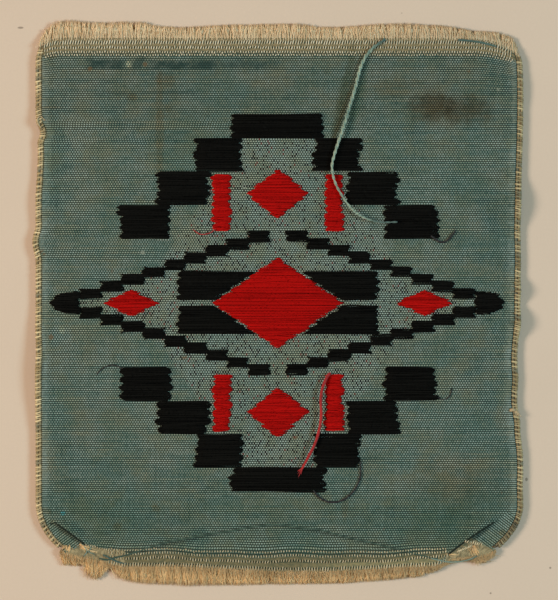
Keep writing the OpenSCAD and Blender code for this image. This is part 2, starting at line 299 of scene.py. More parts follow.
    def warp_span(self, y: Array) -> tuple[Array, Array]:
        """Give x of the first and of the last warp end at each y, as if no corner were rounded."""
        left, right = (self.straight_side(side, y) - self.strip(side, y) for side in (Side.LEFT, Side.RIGHT))
        return -left, right

    def row_y(self, x: Array, y: Array) -> Array:
        """Give the height of a weft row at x, pulled down at the top corners and taken up by the folds."""
        drop = self.top_drop(x) * np.clip(1 - (self.top_y - y) / self.top_corner_rows, 0, None) ** 2
        return y + self.bottom_rise(x, y) - drop

    def flat_y(self, x: Array, y: Array) -> Array:
        """Give the height on the flat cloth of points of the shaped cloth, the other way round to row_y.

        Args:
            x: Distances from the middle line.
            y: Heights on the shaped cloth.

        Returns:
            Heights on the flat cloth.
        """
        flat = y
        for _ in range(12):
            flat = flat + 0.8 * (y - self.row_y(x, flat))
        return flat


@dataclass(frozen=True)
class Emblem:
    """Raised pads of the emblem, with the names and values of the part's source."""

    ragged: float = 0.28
    bundle: float = 1.1
    # Each row is inner x, outer x, lowest y, highest y
    tiers: Table = ((5.0, 11.0, 17.6, 21.9), (9.4, 16.0, 13.1, 17.5), (14.4, 21.2, 8.6, 13.0))
    bar: tuple[float, ...] = (6.4, 8.7, 9.6, 17.1)
    cap: tuple[float, ...] = (6.2, 22.0, 25.2)
    arm: tuple[float, ...] = (26.3, 9.6, 1.2, 1.4)
    arm_slope_y: float = 1.0
    arm_steps: int = 9
    tip: tuple[float, ...] = (26.5, 30.3, 1.5)
    centre: Point = (8.6, 6.0)
    small: Point = (4.1, 3.3)
    small_y: float = 14.6
    diamond: Point = (3.7, 1.7)
    diamond_x: float = 19.6
    wedge: Point = (13.4, 4.2)
    wedge_gap: float = 0.55
    wedge_low: float = 0.35

    def ragged_end(self, x: float, y0: float, y1: float, seed: float) -> Ring:
        """Give the ragged end of a block of floats, with a tooth for each bundle.

        Args:
            x: Where the end lies.
            y0: Height of its first point.
            y1: Height of its last point.
            seed: Number that sets its unevenness.

        Returns:
            The points of the end, from y0 to y1.
        """
        count = max(1, round(abs(y1 - y0) / self.bundle))
        tooth = math.copysign(1, x) * self.ragged
        points = [(x + tooth * out * (0.7 + 0.3 * float(uneven(i + seed))),
                   y0 + (y1 - y0) * (i + along) / count)
                  for i in range(count) for along, out in ((0.0, 0), (0.2, 1), (0.8, 1))]
        return [*points, (x, y1)]

    def block(self, row: Sequence[float], sx: int, sy: int, seed: float) -> Ring:
        """Give a bar, straight inside and ragged outside, by its row and the signs of its quarter."""
        outer = self.ragged_end(sx * (row[1] - self.ragged), sy * row[2], sy * row[3], seed + 2 * sx + sy)
        return [(sx * row[0], sy * row[3]), (sx * row[0], sy * row[2]), *outer]

    def stepped_arm(self, sx: int, sy: int) -> Ring:
        """Give one stepped arm of the long lozenge.

        Args:
            sx: Sign of x.
            sy: Sign of y.

        Returns:
            The points of its outline.
        """
        outer_x, inner_y, inner_x, thick = self.arm
        dx = (outer_x - inner_x) / self.arm_steps
        dy = (inner_y - self.arm_slope_y) / self.arm_steps
        walk = [(i, s) for i in range(self.arm_steps) for s in (0, 1)]
        low = [(sx * (inner_x + dx * (i + s)), sy * (inner_y - dy * i - thick)) for i, s in walk]
        return low + [(sx * (inner_x + dx * (i + s)), sy * (inner_y - dy * i)) for i, s in reversed(walk)]

    def round_tip(self, sx: int) -> Ring:
        """Give one rounded end of the long lozenge.

        Args:
            sx: Sign of x.

        Returns:
            The points of its outline.
        """
        inner, outer, half = self.tip
        angles = [math.radians(-90 + 180 * i / 8) for i in range(9)]
        return [(sx * (inner + (outer - inner) * max(0.0, math.cos(a)) ** 0.8), half * math.sin(a))
                for a in angles]

    def wedge_shape(self, sx: int, sy: int) -> Ring:
        """Give one black wedge beside the centre lozenge.

        Args:
            sx: Sign of x.
            sy: Sign of y.

        Returns:
            The points of its outline.
        """
        gap_x = self.centre[0] + self.wedge_gap
        slope = self.centre[1] / self.centre[0]
        outer_x, high = self.wedge
        low = self.wedge_low
        outer = self.ragged_end(sx * (outer_x - self.ragged), sy * low, sy * high, 4 + sx - sy)
        return [(sx * (gap_x - low / slope), sy * low), *outer, (sx * (gap_x - high / slope), sy * high)]

    def outlines(self) -> dict[str, tuple[Yarn, Ring]]:
        """Give every pad of the emblem.

        Returns:
            The yarn and the outline of each pad, by the name of its node.
        """
        pads: dict[str, tuple[Yarn, Ring]] = {}
        hands = ((-1, "left"), (1, "right"))
        for sy, end, level in ((1, "top", "upper"), (-1, "bottom", "lower")):
            half, low, high = self.cap
            right = self.ragged_end(half - self.ragged, sy * low, sy * high, 3)
            left = self.ragged_end(self.ragged - half, sy * high, sy * low, 5)
            pads[f"cap_{end}"] = (Yarn.BLACK, right + left)
            pads[f"lozenge_{end}"] = (Yarn.RED, self.lozenge(0, sy * self.small_y, self.small))
            for sx, hand in hands:
                for k, row in enumerate(self.tiers):
                    pads[f"tier_{k + 1}_{end}_{hand}"] = (Yarn.BLACK, self.block(row, sx, sy, 7 * k))
                pads[f"bar_{end}_{hand}"] = (Yarn.RED, self.block(self.bar, sx, sy, 30))
                pads[f"arm_{level}_{hand}"] = (Yarn.BLACK, self.stepped_arm(sx, sy))
                pads[f"wedge_{level}_{hand}"] = (Yarn.BLACK, self.wedge_shape(sx, sy))
        for sx, hand in hands:
            pads[f"tip_{hand}"] = (Yarn.BLACK, self.round_tip(sx))
            pads[f"diamond_{hand}"] = (Yarn.RED, self.lozenge(sx * self.diamond_x, 0, self.diamond))
        pads["centre_lozenge"] = (Yarn.RED, self.lozenge(0, 0, self.centre))
        return pads

    @staticmethod
    def lozenge(x: float, y: float, size: Point) -> Ring:
        """Give a lozenge by its centre and its half width and half height."""
        return [(x - size[0], y), (x, y - size[1]), (x + size[0], y), (x, y + size[1])]


class Wire:
    """A socket of a finish, whose operators add the nodes of an expression."""

    def __init__(self, recipe: "Recipe", socket: bpy.types.NodeSocket) -> None:
        """Keep the recipe and the socket that this wire starts from."""
        self.recipe = recipe
        self.socket = socket

    def _join(self, operation: str, other: "Wire | float | Colour", flipped: bool = False) -> "Wire":
        """Add the node of one operation.

        Args:
            operation: Operation of a Math or Vector Math node.
            other: The other value.
            flipped: True if the other value comes first.

        Returns:
            The wire that leaves the node.
        """
        terms = (other, self) if flipped else (self, other)
        plain = all(isinstance(item, (int, float)) or (isinstance(item, Wire) and item.is_value)
                    for item in terms)
        kind = "ShaderNodeMath" if plain else "ShaderNodeVectorMath"
        if not plain:
            terms = tuple((item,) * 3 if isinstance(item, (int, float)) else item for item in terms)
        return self.recipe.add(kind, {"operation": operation}, dict(enumerate(terms)))

    @property
    def is_value(self) -> bool:
        """Tell a single value from a colour or vector."""
        return self.socket.type == "VALUE"

    def __add__(self, other: "Wire | float | Colour") -> "Wire":
        """Add another value."""
        return self._join("ADD", other)

    def __radd__(self, other: float | Colour) -> "Wire":
        """Add to another value."""
        return self._join("ADD", other, True)

    def __sub__(self, other: "Wire | float | Colour") -> "Wire":
        """Take another value away."""
        return self._join("SUBTRACT", other)

    def __rsub__(self, other: float | Colour) -> "Wire":
        """Take this value from another."""
        return self._join("SUBTRACT", other, True)

    def __mul__(self, other: "Wire | float | Colour") -> "Wire":
        """Multiply by another value."""
        return self._join("MULTIPLY", other)

    def __rmul__(self, other: float | Colour) -> "Wire":
        """Multiply another value."""
        return self._join("MULTIPLY", other, True)

    def __truediv__(self, other: "Wire | float | Colour") -> "Wire":
        """Divide by another value."""
        return self._join("DIVIDE", other)


Feed = Wire | float | Sequence[float]


class Recipe:
    """The node tree of one finish."""

    def __init__(self, name: str) -> None:
        """Start an empty material.

        Args:
            name: Name of the finish.
        """
        self.material = bpy.data.materials.new(name)
        self.material.use_nodes = True
        self.tree = self.material.node_tree
        self.tree.nodes.clear()

    def add(self, kind: str, settings: Mapping[str, object] | None = None,
            feeds: Mapping[int | str, Feed] | None = None, output: int | str = 0) -> Wire:
        """Add one node.

        Args:
            kind: Type of the node.
            settings: Its settings, which are set first.
            feeds: Values or wires of its sockets.
            output: Number or name of the output that is wanted.

        Returns:
            The wire that leaves the output.
        """
        node = self.tree.nodes.new(kind)
        for name, value in (settings or {}).items():
            setattr(node, name, value)
        for name, value in (feeds or {}).items():
            socket = node.inputs[name]
            if isinstance(value, Wire):
                self.tree.links.new(value.socket, socket)
            elif socket.type == "RGBA" and len(value) == 3:
                socket.default_value = (*value, 1.0)
            else:
                socket.default_value = value
        return Wire(self, node.outputs[output])

    def blend(self, share: Feed, first: Feed, second: Feed) -> Wire:
        """Blend two colours: the first at a share of 0, the second at 1."""
        return self.add("ShaderNodeMix", {"data_type": "RGBA"}, {0: share, 6: first, 7: second}, 2)

    def step(self, value: Wire, low: float, high: float, start: float = 0.0, end: float = 1.0) -> Wire:
        """Turn a value into a smooth step that is start up to low, and end from high on."""
        return self.add("ShaderNodeMapRange", {"interpolation_type": "SMOOTHSTEP"},
                        {"Value": value, "From Min": low, "From Max": high, "To Min": start, "To Max": end})

    def noise(self, place: Wire, scale: float, detail: float = 2.0, rough: float = 0.5) -> Wire:
        """Add smooth noise from about 0 to 1, with scale waves for each unit and layers of finer detail."""
        return self.add("ShaderNodeTexNoise", None,
                        {"Vector": place, "Scale": scale, "Detail": detail, "Roughness": rough})

    def specks(self, place: Wire, scale: float, size: float) -> Wire:
        """Add round specks, 1 on a speck and 0 elsewhere, by their number along a unit and their size."""
        near = self.add("ShaderNodeTexVoronoi", None, {"Vector": place, "Scale": scale})
        return self.step(near, size, 0.5 * size)

    def chance(self, place: Wire) -> Wire:
        """Add a random value for each whole place."""
        return self.add("ShaderNodeTexWhiteNoise", {"noise_dimensions": "3D"}, {"Vector": place})

    def math(self, operation: str, *values: Feed) -> Wire:
        """Add one Math node for an operation that has no operator."""
        return self.add("ShaderNodeMath", {"operation": operation}, dict(enumerate(values)))

    def size(self, value: Wire) -> Wire:
        """Drop the sign of a value."""
        return self.math("ABSOLUTE", value)

    def most(self, first: Wire, *others: Wire) -> Wire:
        """Give the largest of some values.

        Args:
            first: The first value.
            others: The others.

        Returns:
            The largest at each point.
        """
        for other in others:
            first = self.math("MAXIMUM", first, other)
        return first

    def place(self) -> Wire:
        """Give the place on the part, in millimetres."""
        return self.add("ShaderNodeTexCoord", None, None, "Object") * (1 / MM)

    def parts(self, vector: Wire) -> tuple[Wire, Wire, Wire]:
        """Split a vector into its three values.

        Args:
            vector: The vector.

        Returns:
            Its x, y and z.
        """
        first = self.add("ShaderNodeSeparateXYZ", None, {0: vector}, "X")
        node = first.socket.node
        return first, Wire(self, node.outputs["Y"]), Wire(self, node.outputs["Z"])

    def vector(self, x: Feed, y: Feed, z: Feed = 0.0) -> Wire:
        """Join three values into a vector."""
        return self.add("ShaderNodeCombineXYZ", None, {"X": x, "Y": y, "Z": z})

    def threads(self) -> tuple[Wire, Wire]:
        """Give the two thread coordinates of the piece's mesh."""
        x, y, _ = self.parts(self.add("ShaderNodeUVMap", {"uv_map": THREAD_MAP}))
        return x, y

    def number(self, name: str) -> Wire:
        """Give a number that the mesh keeps for each point."""
        return self.add("ShaderNodeAttribute", {"attribute_name": name}, None, "Fac")

    def finish(self, colour: Feed, roughness: Feed, shine: float, sheen: float = 0.0,
               bump: Wire | None = None, bump_mm: float = 0.05) -> Material:
        """Close the finish with its surface shader.

        Args:
            colour: Base colour.
            roughness: Roughness.
            shine: Specular level, which is the same all over.
            sheen: Weight of the soft sheen of loose fibres, which is the same all over.
            bump: Height of the fine relief, from 0 to 1.
            bump_mm: Height in millimetres that a bump of 1 stands for.

        Returns:
            The material.
        """
        feeds: dict[int | str, Feed] = {"Base Color": colour, "Roughness": roughness,
                                        "Specular IOR Level": shine, "Sheen Weight": sheen,
                                        "Sheen Roughness": 0.6}
        if bump is not None:
            feeds["Normal"] = self.add("ShaderNodeBump", None,
                                       {"Strength": 1.0, "Distance": bump_mm * MM, "Height": bump}, "Normal")
        surface = self.add("ShaderNodeBsdfPrincipled", None, feeds, "BSDF")
        output = self.tree.nodes.new("ShaderNodeOutputMaterial")
        self.tree.links.new(surface.socket, output.inputs["Surface"])
        return self.material


class WeaveRecipe(Recipe):
    """The finish of the cloth, with the values that its details are found from."""

    def __init__(self, name: str) -> None:
        """Read the place and the threads, and find the waves of both.

        Args:
            name: Name of the finish.
        """
        super().__init__(name)
        self.spot = self.place()
        self.x, self.y, _ = self.parts(self.spot)
        self.warp, self.weft = self.threads()
        along = self.math("COSINE", self.weft * math.pi)
        # 1 on a weft and 0 between two
        self.row = self.size(along)
        # 1 where the warp lies over the weft, and -1 where it lies under
        self.over = self.math("COSINE", self.warp * math.pi) * self.math("SIGN", along)
        # Makes the edges of soiled places uneven
        self.wander = (self.noise(self.spot, 0.7, 4.0, 0.65) - 0.5) * 2.2
        # 1 on the ground that the emblem encloses
        wide, tall = self.size(self.x), self.size(self.y)
        stepped = self.step(wide / 19.5 + tall / 29.5, 1.0, 0.97) * self.step(tall, 22.4, 22.0)
        self.inside = self.most(self.step(wide / 27.4 + tall / 9.6, 1.0, 0.97), stepped)

    def over_threads(self, warp: float, weft: float, depth: float = 0.0) -> Wire:
        """Give a place that runs this far with each warp end and each weft."""
        return self.vector(self.warp * warp, self.weft * weft, depth)


@dataclass(frozen=True)
class SoilAndShade:
    """One soiled place of the cloth, as the photograph shows it, or one place of painted shade."""

    tint: Colour
    x: float
    y: float
    half_x: float
    half_y: float
    strong: float
    lean: float = 0.0
    square: bool = False

    def share(self, r: WeaveRecipe) -> Wire:
        """Find the soiled place or the place of painted shade.

        Args:
            r: The finish of the cloth.

        Returns:
            Its strength in the middle and 0 outside.
        """
        dx = (r.x - r.y * self.lean - (self.x - self.y * self.lean)) / self.half_x
        dy = (r.y - self.y) / self.half_y
        if self.square:
            far = r.most(r.size(dx), r.size(dy) * 0.9) + r.wander * 0.20
            return r.step(far, 1.30, 0.55, 0.0, self.strong)
        return r.step(dx * dx + dy * dy + r.wander, 1.5, 0.0, 0.0, self.strong)


STAIN: Colour = (0.56, 0.50, 0.42)
BROWN: Colour = (0.92, 0.66, 0.46)
THREAD_SHADE_TINT: Colour = (0.60, 0.58, 0.45)
TEALISH: Colour = (0.55, 0.74, 0.68)
# The soiled places of each tint, with the painted shade beside the loose thread
SOILS_AND_SHADES: tuple[SoilAndShade, ...] = tuple(SoilAndShade(tint, *row) for tint, rows in (
    (STAIN, ((20.7, 26.3, 3.0, 2.3, 1.0), (25.2, 25.7, 3.5, 2.0, 0.85))),
    (BROWN, ((22.6, 25.9, 5.0, 2.6, 0.40), (16.5, 28.6, 3.4, 1.4, 0.35), (24.0, -24.0, 6.5, 4.0, 0.40),
             (-15.8, 22.8, 0.6, 8.0, 0.55), (8.95, -27.0, 0.5, 2.6, 0.55), (-15.2, 29.8, 1.3, 1.2, 0.60),
             (-19.5, 27.5, 0.8, 0.6, 0.60), (-14.8, 26.0, 0.7, 0.6, 0.50), (-30.4, 32.9, 1.0, 0.3, 0.60),
             (-30.4, 26.1, 1.7, 0.3, 0.50), (30.0, -30.7, 0.6, 0.5, 0.80), (-16.3, -27.4, 0.7, 0.5, 0.55),
             (-21.5, -29.8, 0.6, 0.5, 0.55), (-31.0, -27.8, 0.8, 0.5, 0.60))),
    (TEALISH, ((-11.0, 20.5, 5.5, 6.5, 0.35), (-24.0, -28.5, 5.0, 3.4, 0.40), (22.0, -29.5, 6.0, 3.2, 0.45),
               (-29.8, 20.0, 1.8, 5.5, 0.40))),
    # Painted shade beside the loose thread: brown on its left and teal on its right
    (THREAD_SHADE_TINT, ((8.35, 25.8, 0.80, 8.6, 0.90, 0.215),)), (TEALISH, ((10.4, 26.6, 0.75, 6.4, 0.85, 0.25),)),
    # Single flecks of lint and of blue
    ((2.4, 2.0, 1.8), ((-20.0, 31.9, 0.4, 0.5, 0.95),)),
    ((0.5, 1.5, 2.0), ((-28.7, -28.1, 0.35, 0.35, 0.9),)),
    ((0.5, 1.4, 1.8), ((-5.8, 3.7, 0.3, 0.3, 0.7),)), ((1.7, 1.5, 1.3), ((-28.9, -3.6, 0.5, 0.5, 0.7),)),
) for row in rows)
# Groups of wefts that run dark
BANDS: tuple[SoilAndShade, ...] = tuple(SoilAndShade(TEALISH, *row, square=True) for row in (
    (-23.0, 31.85, 2.5, 0.60, 1.0), (-18.6, 32.1, 0.7, 0.80, 0.8, 0.4), (-12.6, 31.8, 5.0, 0.56, 1.0),
    (-4.4, 31.8, 4.2, 0.44, 0.7), (-17.0, 28.1, 7.0, 0.22, 0.5), (5.0, -20.9, 9.0, 0.16, 0.35),
))


@dataclass(frozen=True)
class FoldShade:
    """Painted shade: the tight dark line along the foot of a corner pleat."""

    x0: float
    y0: float
    x1: float
    y1: float
    bow: float
    half: float = 0.13

    def share(self, r: WeaveRecipe) -> Wire:
        """Find the painted shade along the fold line.

        Args:
            r: The finish of the cloth.

        Returns:
            1 on the line and 0 elsewhere.
        """
        ux, uy = self.x1 - self.x0, self.y1 - self.y0
        long = math.hypot(ux, uy)
        along = (r.x * (ux / long ** 2) + r.y * (uy / long ** 2)) - (self.x0 * ux + self.y0 * uy) / long ** 2
        aside = (r.y * (ux / long) - r.x * (uy / long)) - (self.y0 * ux - self.x0 * uy) / long
        middle = (along - 0.5) * 2.0
        bowed = r.size(aside - (1.0 - middle * middle) * self.bow)
        ends = r.step(r.size(middle), 1.08, 0.80)
        return r.step(bowed / (ends * self.half + 0.001), 1.5, 0.6) * ends


# Where the painted shade of the pleats' fold lines runs
FOLD_SHADES: tuple[FoldShade, ...] = (
    FoldShade(-29.8, -29.30, -25.5, -32.50, 0.10), FoldShade(-30.5, -29.60, -29.5, -29.32, 0.05, 0.09),
    FoldShade(22.3, -33.95, 29.3, -29.05, 0.22),
)


@dataclass(frozen=True)
class WeaveFinish:
    """Plain weave of teal weft over cream warp, with the patch's stains and painted shade."""

    weft: Colour = (0.028, 0.073, 0.054)
    weft_grey: Colour = (0.055, 0.073, 0.045)
    weft_deep: Colour = (0.014, 0.052, 0.040)
    weft_inside: Colour = (0.046, 0.066, 0.046)
    weft_dark: Colour = (0.015, 0.045, 0.036)
    warp: Colour = (0.40, 0.50, 0.42)
    warp_aged: Colour = (0.38, 0.42, 0.29)
    tan: Colour = (0.215, 0.170, 0.082)
    tan_dark: Colour = (0.125, 0.118, 0.064)
    tan_teal: Colour = (0.050, 0.064, 0.038)
    # Colour of the painted shade along the pleats' fold lines
    fold: Colour = (0.008, 0.016, 0.010)
    roughness: float = 0.85
    # Number of the last weft, and a number between those of the main field and of the corner flaps
    last_row: float = 239.0
    flap_row: float = 350.0

    def material(self) -> Material:
        """Build the finish of the cloth.

        Returns:
            The material.
        """
        r = WeaveRecipe("teal_weave")
        # Uneven tension: slow patches, streaks along single wefts and warp ends, and single crossings
        patches = r.noise(r.spot, 0.16, 4.0, 0.60)
        streaks = r.noise(r.over_threads(0.016, 0.9), 1.0, 2.0, 0.6)
        ends = r.noise(r.over_threads(0.9, 0.015), 1.0, 2.0, 0.6)
        single = r.noise(r.over_threads(0.5, 0.5, 3.0), 1.0, 1.0, 0.5)
        band = (r.most(*(band.share(r) for band in BANDS))
                * r.step(r.noise(r.spot, 1.3, 2.0), 0.30, 0.60, 0.55, 1.0))
        tension = patches * 0.40 + streaks * 0.6 + single * 0.6 + ends * 0.3 + r.inside * 0.16
        strength = r.step(tension, 0.56, 1.28, 0.16, 1.0) * (1.0 - band * 0.85)
        # The dots run together into lines beside the edge cords, and into ribs on the corner flaps
        beside = r.step(r.size(r.warp - 181.5), 171.0, 180.0)
        flap = self._flap(r)
        joined = r.most(r.over, r.most(beside * 0.7 - 0.6, flap * 0.95 - 1.0))
        dots = r.step(joined, -0.45, 0.35) * r.step(r.row, 0.40, 0.92) * strength
        # Painted shade between the weft rows and painted light along them; the rows near the ends lie apart
        # and are shaded less
        apart = r.most(r.step(r.weft, 7.0, 4.5),
                       r.step(r.weft, self.last_row - 7.0, self.last_row - 4.5) * (1.0 - flap))
        rib_shade = r.most(r.step(r.row, 0.10, 0.85, 0.16, 1.15), apart * 0.62)
        weft = r.blend(r.step(patches + streaks * 0.4, 0.55, 0.85), self.weft, self.weft_grey)
        weft = r.blend(r.step(r.noise(r.spot, 0.30, 4.0, 0.6), 0.50, 0.68, 0.0, 0.85), weft, self.weft_deep)
        weft = r.blend(r.inside * 0.5, weft, self.weft_inside)
        weft = r.blend(band, weft, self.weft_dark)
        aged = r.step(r.noise(r.spot, 0.38, 3.0, 0.6) + streaks * 0.3, 0.52, 0.80)
        colour = r.blend(dots, weft * rib_shade, r.blend(aged, self.warp, self.warp_aged))
        colour = self._heading(r, colour)
        # Stains, and the painted shade beside the loose thread
        for blotch in SOILS_AND_SHADES:
            colour = colour * r.blend(blotch.share(r), WHITE, blotch.tint)
        colour = colour * r.blend(r.step(r.y, -22.0, -28.0), WHITE, (0.85, 0.90, 0.87))
        colour = colour * r.blend(r.step(r.y, 20.0, 27.0), WHITE, (0.93, 0.91, 0.90))
        # Painted shade in the grooves at the feet of the corner pleats
        colour = colour * r.step(r.number("pinch"), 0.0, 0.6, 1.0, 0.60)
        # Painted shade along the crease that arches over the bottom edge
        colour = colour * (1.0 - self._arch_shade(r) * 0.32)
        # Painted shade along the fold line at the foot of each corner pleat
        for fold in FOLD_SHADES:
            colour = r.blend(fold.share(r), colour, self.fold)
        colour = self._reverse_emblem(r, self._specks(r, colour), rib_shade)
        rough = r.step(dots, 0.0, 1.0, self.roughness, 0.65)
        height = r.step(r.over, -0.7, 0.7) * r.row * 0.6 + r.row * 0.4
        return r.finish(colour, rough, 0.20, 0.0, height, 0.035)

    def _flap(self, r: WeaveRecipe) -> Wire:
        """Find the corner flaps, 1 there and 0 elsewhere."""
        return r.step(r.weft, self.flap_row - 10.0, self.flap_row)

    def _arch_shade(self, r: WeaveRecipe) -> Wire:
        """Find the painted shade along the crease that arches over the bottom edge.

        Args:
            r: The finish of the cloth.

        Returns:
            1 on the line and 0 elsewhere.
        """
        middle, top, half, drop, _ = ClothShape.crease
        bow = r.math("POWER", r.size((r.x - middle) / half), ClothShape.crease_bow)
        aside = r.size(r.y - top + bow * drop)
        return r.step(aside, 0.36, 0.10) * r.step(bow, 1.15, 0.95)

    def _specks(self, r: WeaveRecipe, colour: Wire) -> Wire:
        """Add rust specks and lint, and the crossings where the hidden black and red wefts show.

        Args:
            r: The finish of the cloth.
            colour: Colour of the weave.

        Returns:
            The specked colour.
        """
        rust = r.specks(r.spot, 0.17, 0.085) * r.step(r.noise(r.spot, 0.9, 1.0), 0.45, 0.55)
        colour = r.blend(rust * 0.6, colour, (0.13, 0.070, 0.025))
        lint = r.specks(r.spot + (7.3, 2.1, 0.0), 0.13, 0.05)
        colour = r.blend(lint * 0.6, colour, (0.24, 0.27, 0.20))
        weft = r.math("ROUND", r.weft)
        pick = r.chance(r.vector(r.math("FLOOR", (r.warp + weft) * 0.5), weft, 1.0))
        tick = r.inside * r.step(r.over, 0.75, 0.15) * r.step(r.row, 0.10, 0.45)
        colour = r.blend(tick * r.step(pick, 0.86, 0.87), colour, (0.004, 0.005, 0.004))
        return r.blend(tick * r.step(pick, 0.035, 0.025) * 0.85, colour, (0.10, 0.014, 0.010))

    def _heading(self, r: WeaveRecipe, colour: Wire) -> Wire:
        """Turn the first picks at both ends tan, with teal showing between the warp ends.

        Args:
            r: The finish of the cloth.
            colour: Colour of the weave.

        Returns:
            The colour with both headings.
        """
        fine = r.noise(r.over_threads(0.30, 3.5, 5.0), 1.0, 2.0)
        main = 1.0 - self._flap(r)
        top = r.step(r.weft + fine * 0.8, self.last_row - 3.6, self.last_row - 1.9) * main
        bottom = r.step(r.weft - fine * 0.8, 3.3, 1.6)
        corner = r.step(r.number("corner_tan") + fine * 0.5, 0.0, 0.35)
        tan = r.blend(r.step(fine, 0.30, 0.70), self.tan_dark, self.tan)
        root = r.most(r.step(r.weft, self.last_row - 0.6, self.last_row - 0.3) * main,
                      r.step(r.weft, 0.6, 0.3))
        dark = r.step(r.row, 0.66, 0.92) * (1.0 - root) * 0.85
        lower_right = r.step(r.warp, 185.0, 245.0) * r.step(r.weft, 2.6, 1.4)
        band = r.blend(dark, tan, self.tan_teal) * r.step(r.weft, 100.0, 140.0, 1.0, 1.30)
        band = band * (1.0 + lower_right * 0.5)
        hairy = r.noise(r.over_threads(0.55, 0.30, 7.0), 1.0, 3.0, 0.65)
        band = r.blend(corner, band,
                       r.blend(r.step(hairy, 0.35, 0.65), (0.19, 0.15, 0.078), (0.42, 0.33, 0.18)))
        return r.blend(r.most(top, bottom, corner), colour, band)

    def _reverse_emblem(self, r: WeaveRecipe, colour: Wire, rib_shade: Wire) -> Wire:
        """Show the flat woven emblem on the side that lies on the board.

        Args:
            r: The finish of the cloth.
            colour: Colour of the weave.
            rib_shade: Painted shade between the wefts, and painted light along them.

        Returns:
            The colour with the emblem's other side.
        """
        below = r.number("underside")
        black = r.step(r.number("black_reach"), -0.06, 0.06) * below
        red = r.step(r.number("red_reach"), -0.06, 0.06) * below
        # The emblem's other side takes the same painted shade between the wefts
        colour = r.blend(black, colour, rib_shade * (0.012, 0.012, 0.010))
        return r.blend(red, colour, rib_shade * (0.30, 0.012, 0.008))


@dataclass(frozen=True)
class FibreFinish:
    """Soft cream fibres of the frayed ends and of the long warp stitches."""

    name: str = "cream_fibre"
    light: Colour = (0.90, 0.71, 0.43)
    dark: Colour = (0.70, 0.51, 0.26)
    tip: Colour = (0.80, 0.64, 0.42)
    # Shares of the light that the patch's right end, the roots of the fibres and their ends keep
    right: float = 0.88
    root: float = 1.0
    end: float = 1.0
    roughness: float = 0.75

    def material(self) -> Material:
        """Build the finish of the fibres.

        Returns:
            The material.
        """
        r = Recipe(self.name)
        place = r.place()
        _, along = r.threads()
        shade = r.number(SHADE)
        blotch = r.noise(place, 0.35, 3.0, 0.6)
        fine = r.noise(place * (1.0, 0.25, 1.0), 5.0, 2.0, 0.6)
        # The strands' shade holds their random tone and, on the fringes, painted light on the higher fibres
        light = r.step(shade * 0.75 + blotch * 0.55 + fine * 0.25, 0.38, 1.12)
        colour = r.blend(light, self.dark, self.light)
        colour = r.blend(r.step(along, 0.7, 1.0, 0.0, 0.35), colour, self.tip)
        colour = colour * r.step(r.parts(place)[0], 8.0, 20.0, 1.0, self.right)
        colour = colour * r.step(along, 0.15, 0.62, self.root, self.end)
        return r.finish(colour, self.roughness, 0.30, 0.15, fine, 0.02)


@dataclass(frozen=True)
class CordFinish:
    """Beaded edge cord: cream wraps, with painted brown shade in the gaps between them."""

    name: str
    wrap: Colour
    worn: Colour
    # Painted shade in the waists between the beads
    gap: Colour
    corner: float
    seed: float
    bead: float = 0.571
    roughness: float = 0.68

    def material(self) -> Material:
        """Build the finish of the edge cords.

        Returns:
            The material.
        """
        r = Recipe(self.name)
        place = r.place()
        turn, along = r.threads()
        phase = along / self.bead
        wave = r.size(r.math("SINE", phase * math.pi))
        each = r.chance(r.vector(r.math("FLOOR", phase), self.seed, 1.0))
        fibre = r.noise(r.vector(turn * 3.0, along * 6.0), 2.0, 2.0, 0.6)
        worn = r.step(each * 0.8 + r.noise(place, 0.30, 3.0, 0.6) * 0.8, 0.45, 1.15)
        wrap = r.blend(worn, self.wrap, self.worn)
        crest = r.size(r.math("SINE", turn * (3.0 * math.pi) + each * 1.6))
        wrap = wrap * r.step(fibre, 0.25, 0.75, 0.78, 1.10) * r.step(crest, 0.0, 0.9, 0.66, 1.10)
        # The cord under the wraps, with a shade of 0.5, is painted darker than the wraps, as painted shade
        # under them
        wrap = wrap * r.step(r.number(SHADE), 0.5, 1.0, 0.72, 1.02)
        teal = r.step(each, 0.86, 0.9) * 0.45
        wrap = r.blend(teal, wrap, (0.13, 0.17, 0.13))
        # The waists between the beads take the painted shade of the gap colour
        colour = r.blend(r.step(wave + (fibre - 0.5) * 0.5, 0.10, 0.85), self.gap, wrap)
        colour = colour * r.step(r.parts(place)[1], -27.0, -30.0, 1.0, self.corner)
        return r.finish(colour, self.roughness, 0.35, 0.05, fibre, 0.02)


# The third colour of each finish is the painted shade between the beads
CORD_FINISHES: dict[tuple[Side, bool], CordFinish] = {
    (Side.LEFT, False): CordFinish("edge_cord_left_outer", (0.74, 0.59, 0.31), (0.46, 0.34, 0.15),
                                   (0.20, 0.145, 0.062), 0.85, 4.0),
    (Side.LEFT, True): CordFinish("edge_cord_left_inner", (0.58, 0.46, 0.23), (0.36, 0.28, 0.12),
                                  (0.16, 0.120, 0.050), 0.85, 9.0),
    (Side.RIGHT, False): CordFinish("edge_cord_right_outer", (0.52, 0.43, 0.22), (0.33, 0.26, 0.115),
                                    (0.14, 0.105, 0.045), 0.55, 14.0),
    (Side.RIGHT, True): CordFinish("edge_cord_right_inner", (0.43, 0.36, 0.18), (0.27, 0.215, 0.095),
                                   (0.12, 0.090, 0.040), 0.55, 19.0),
}


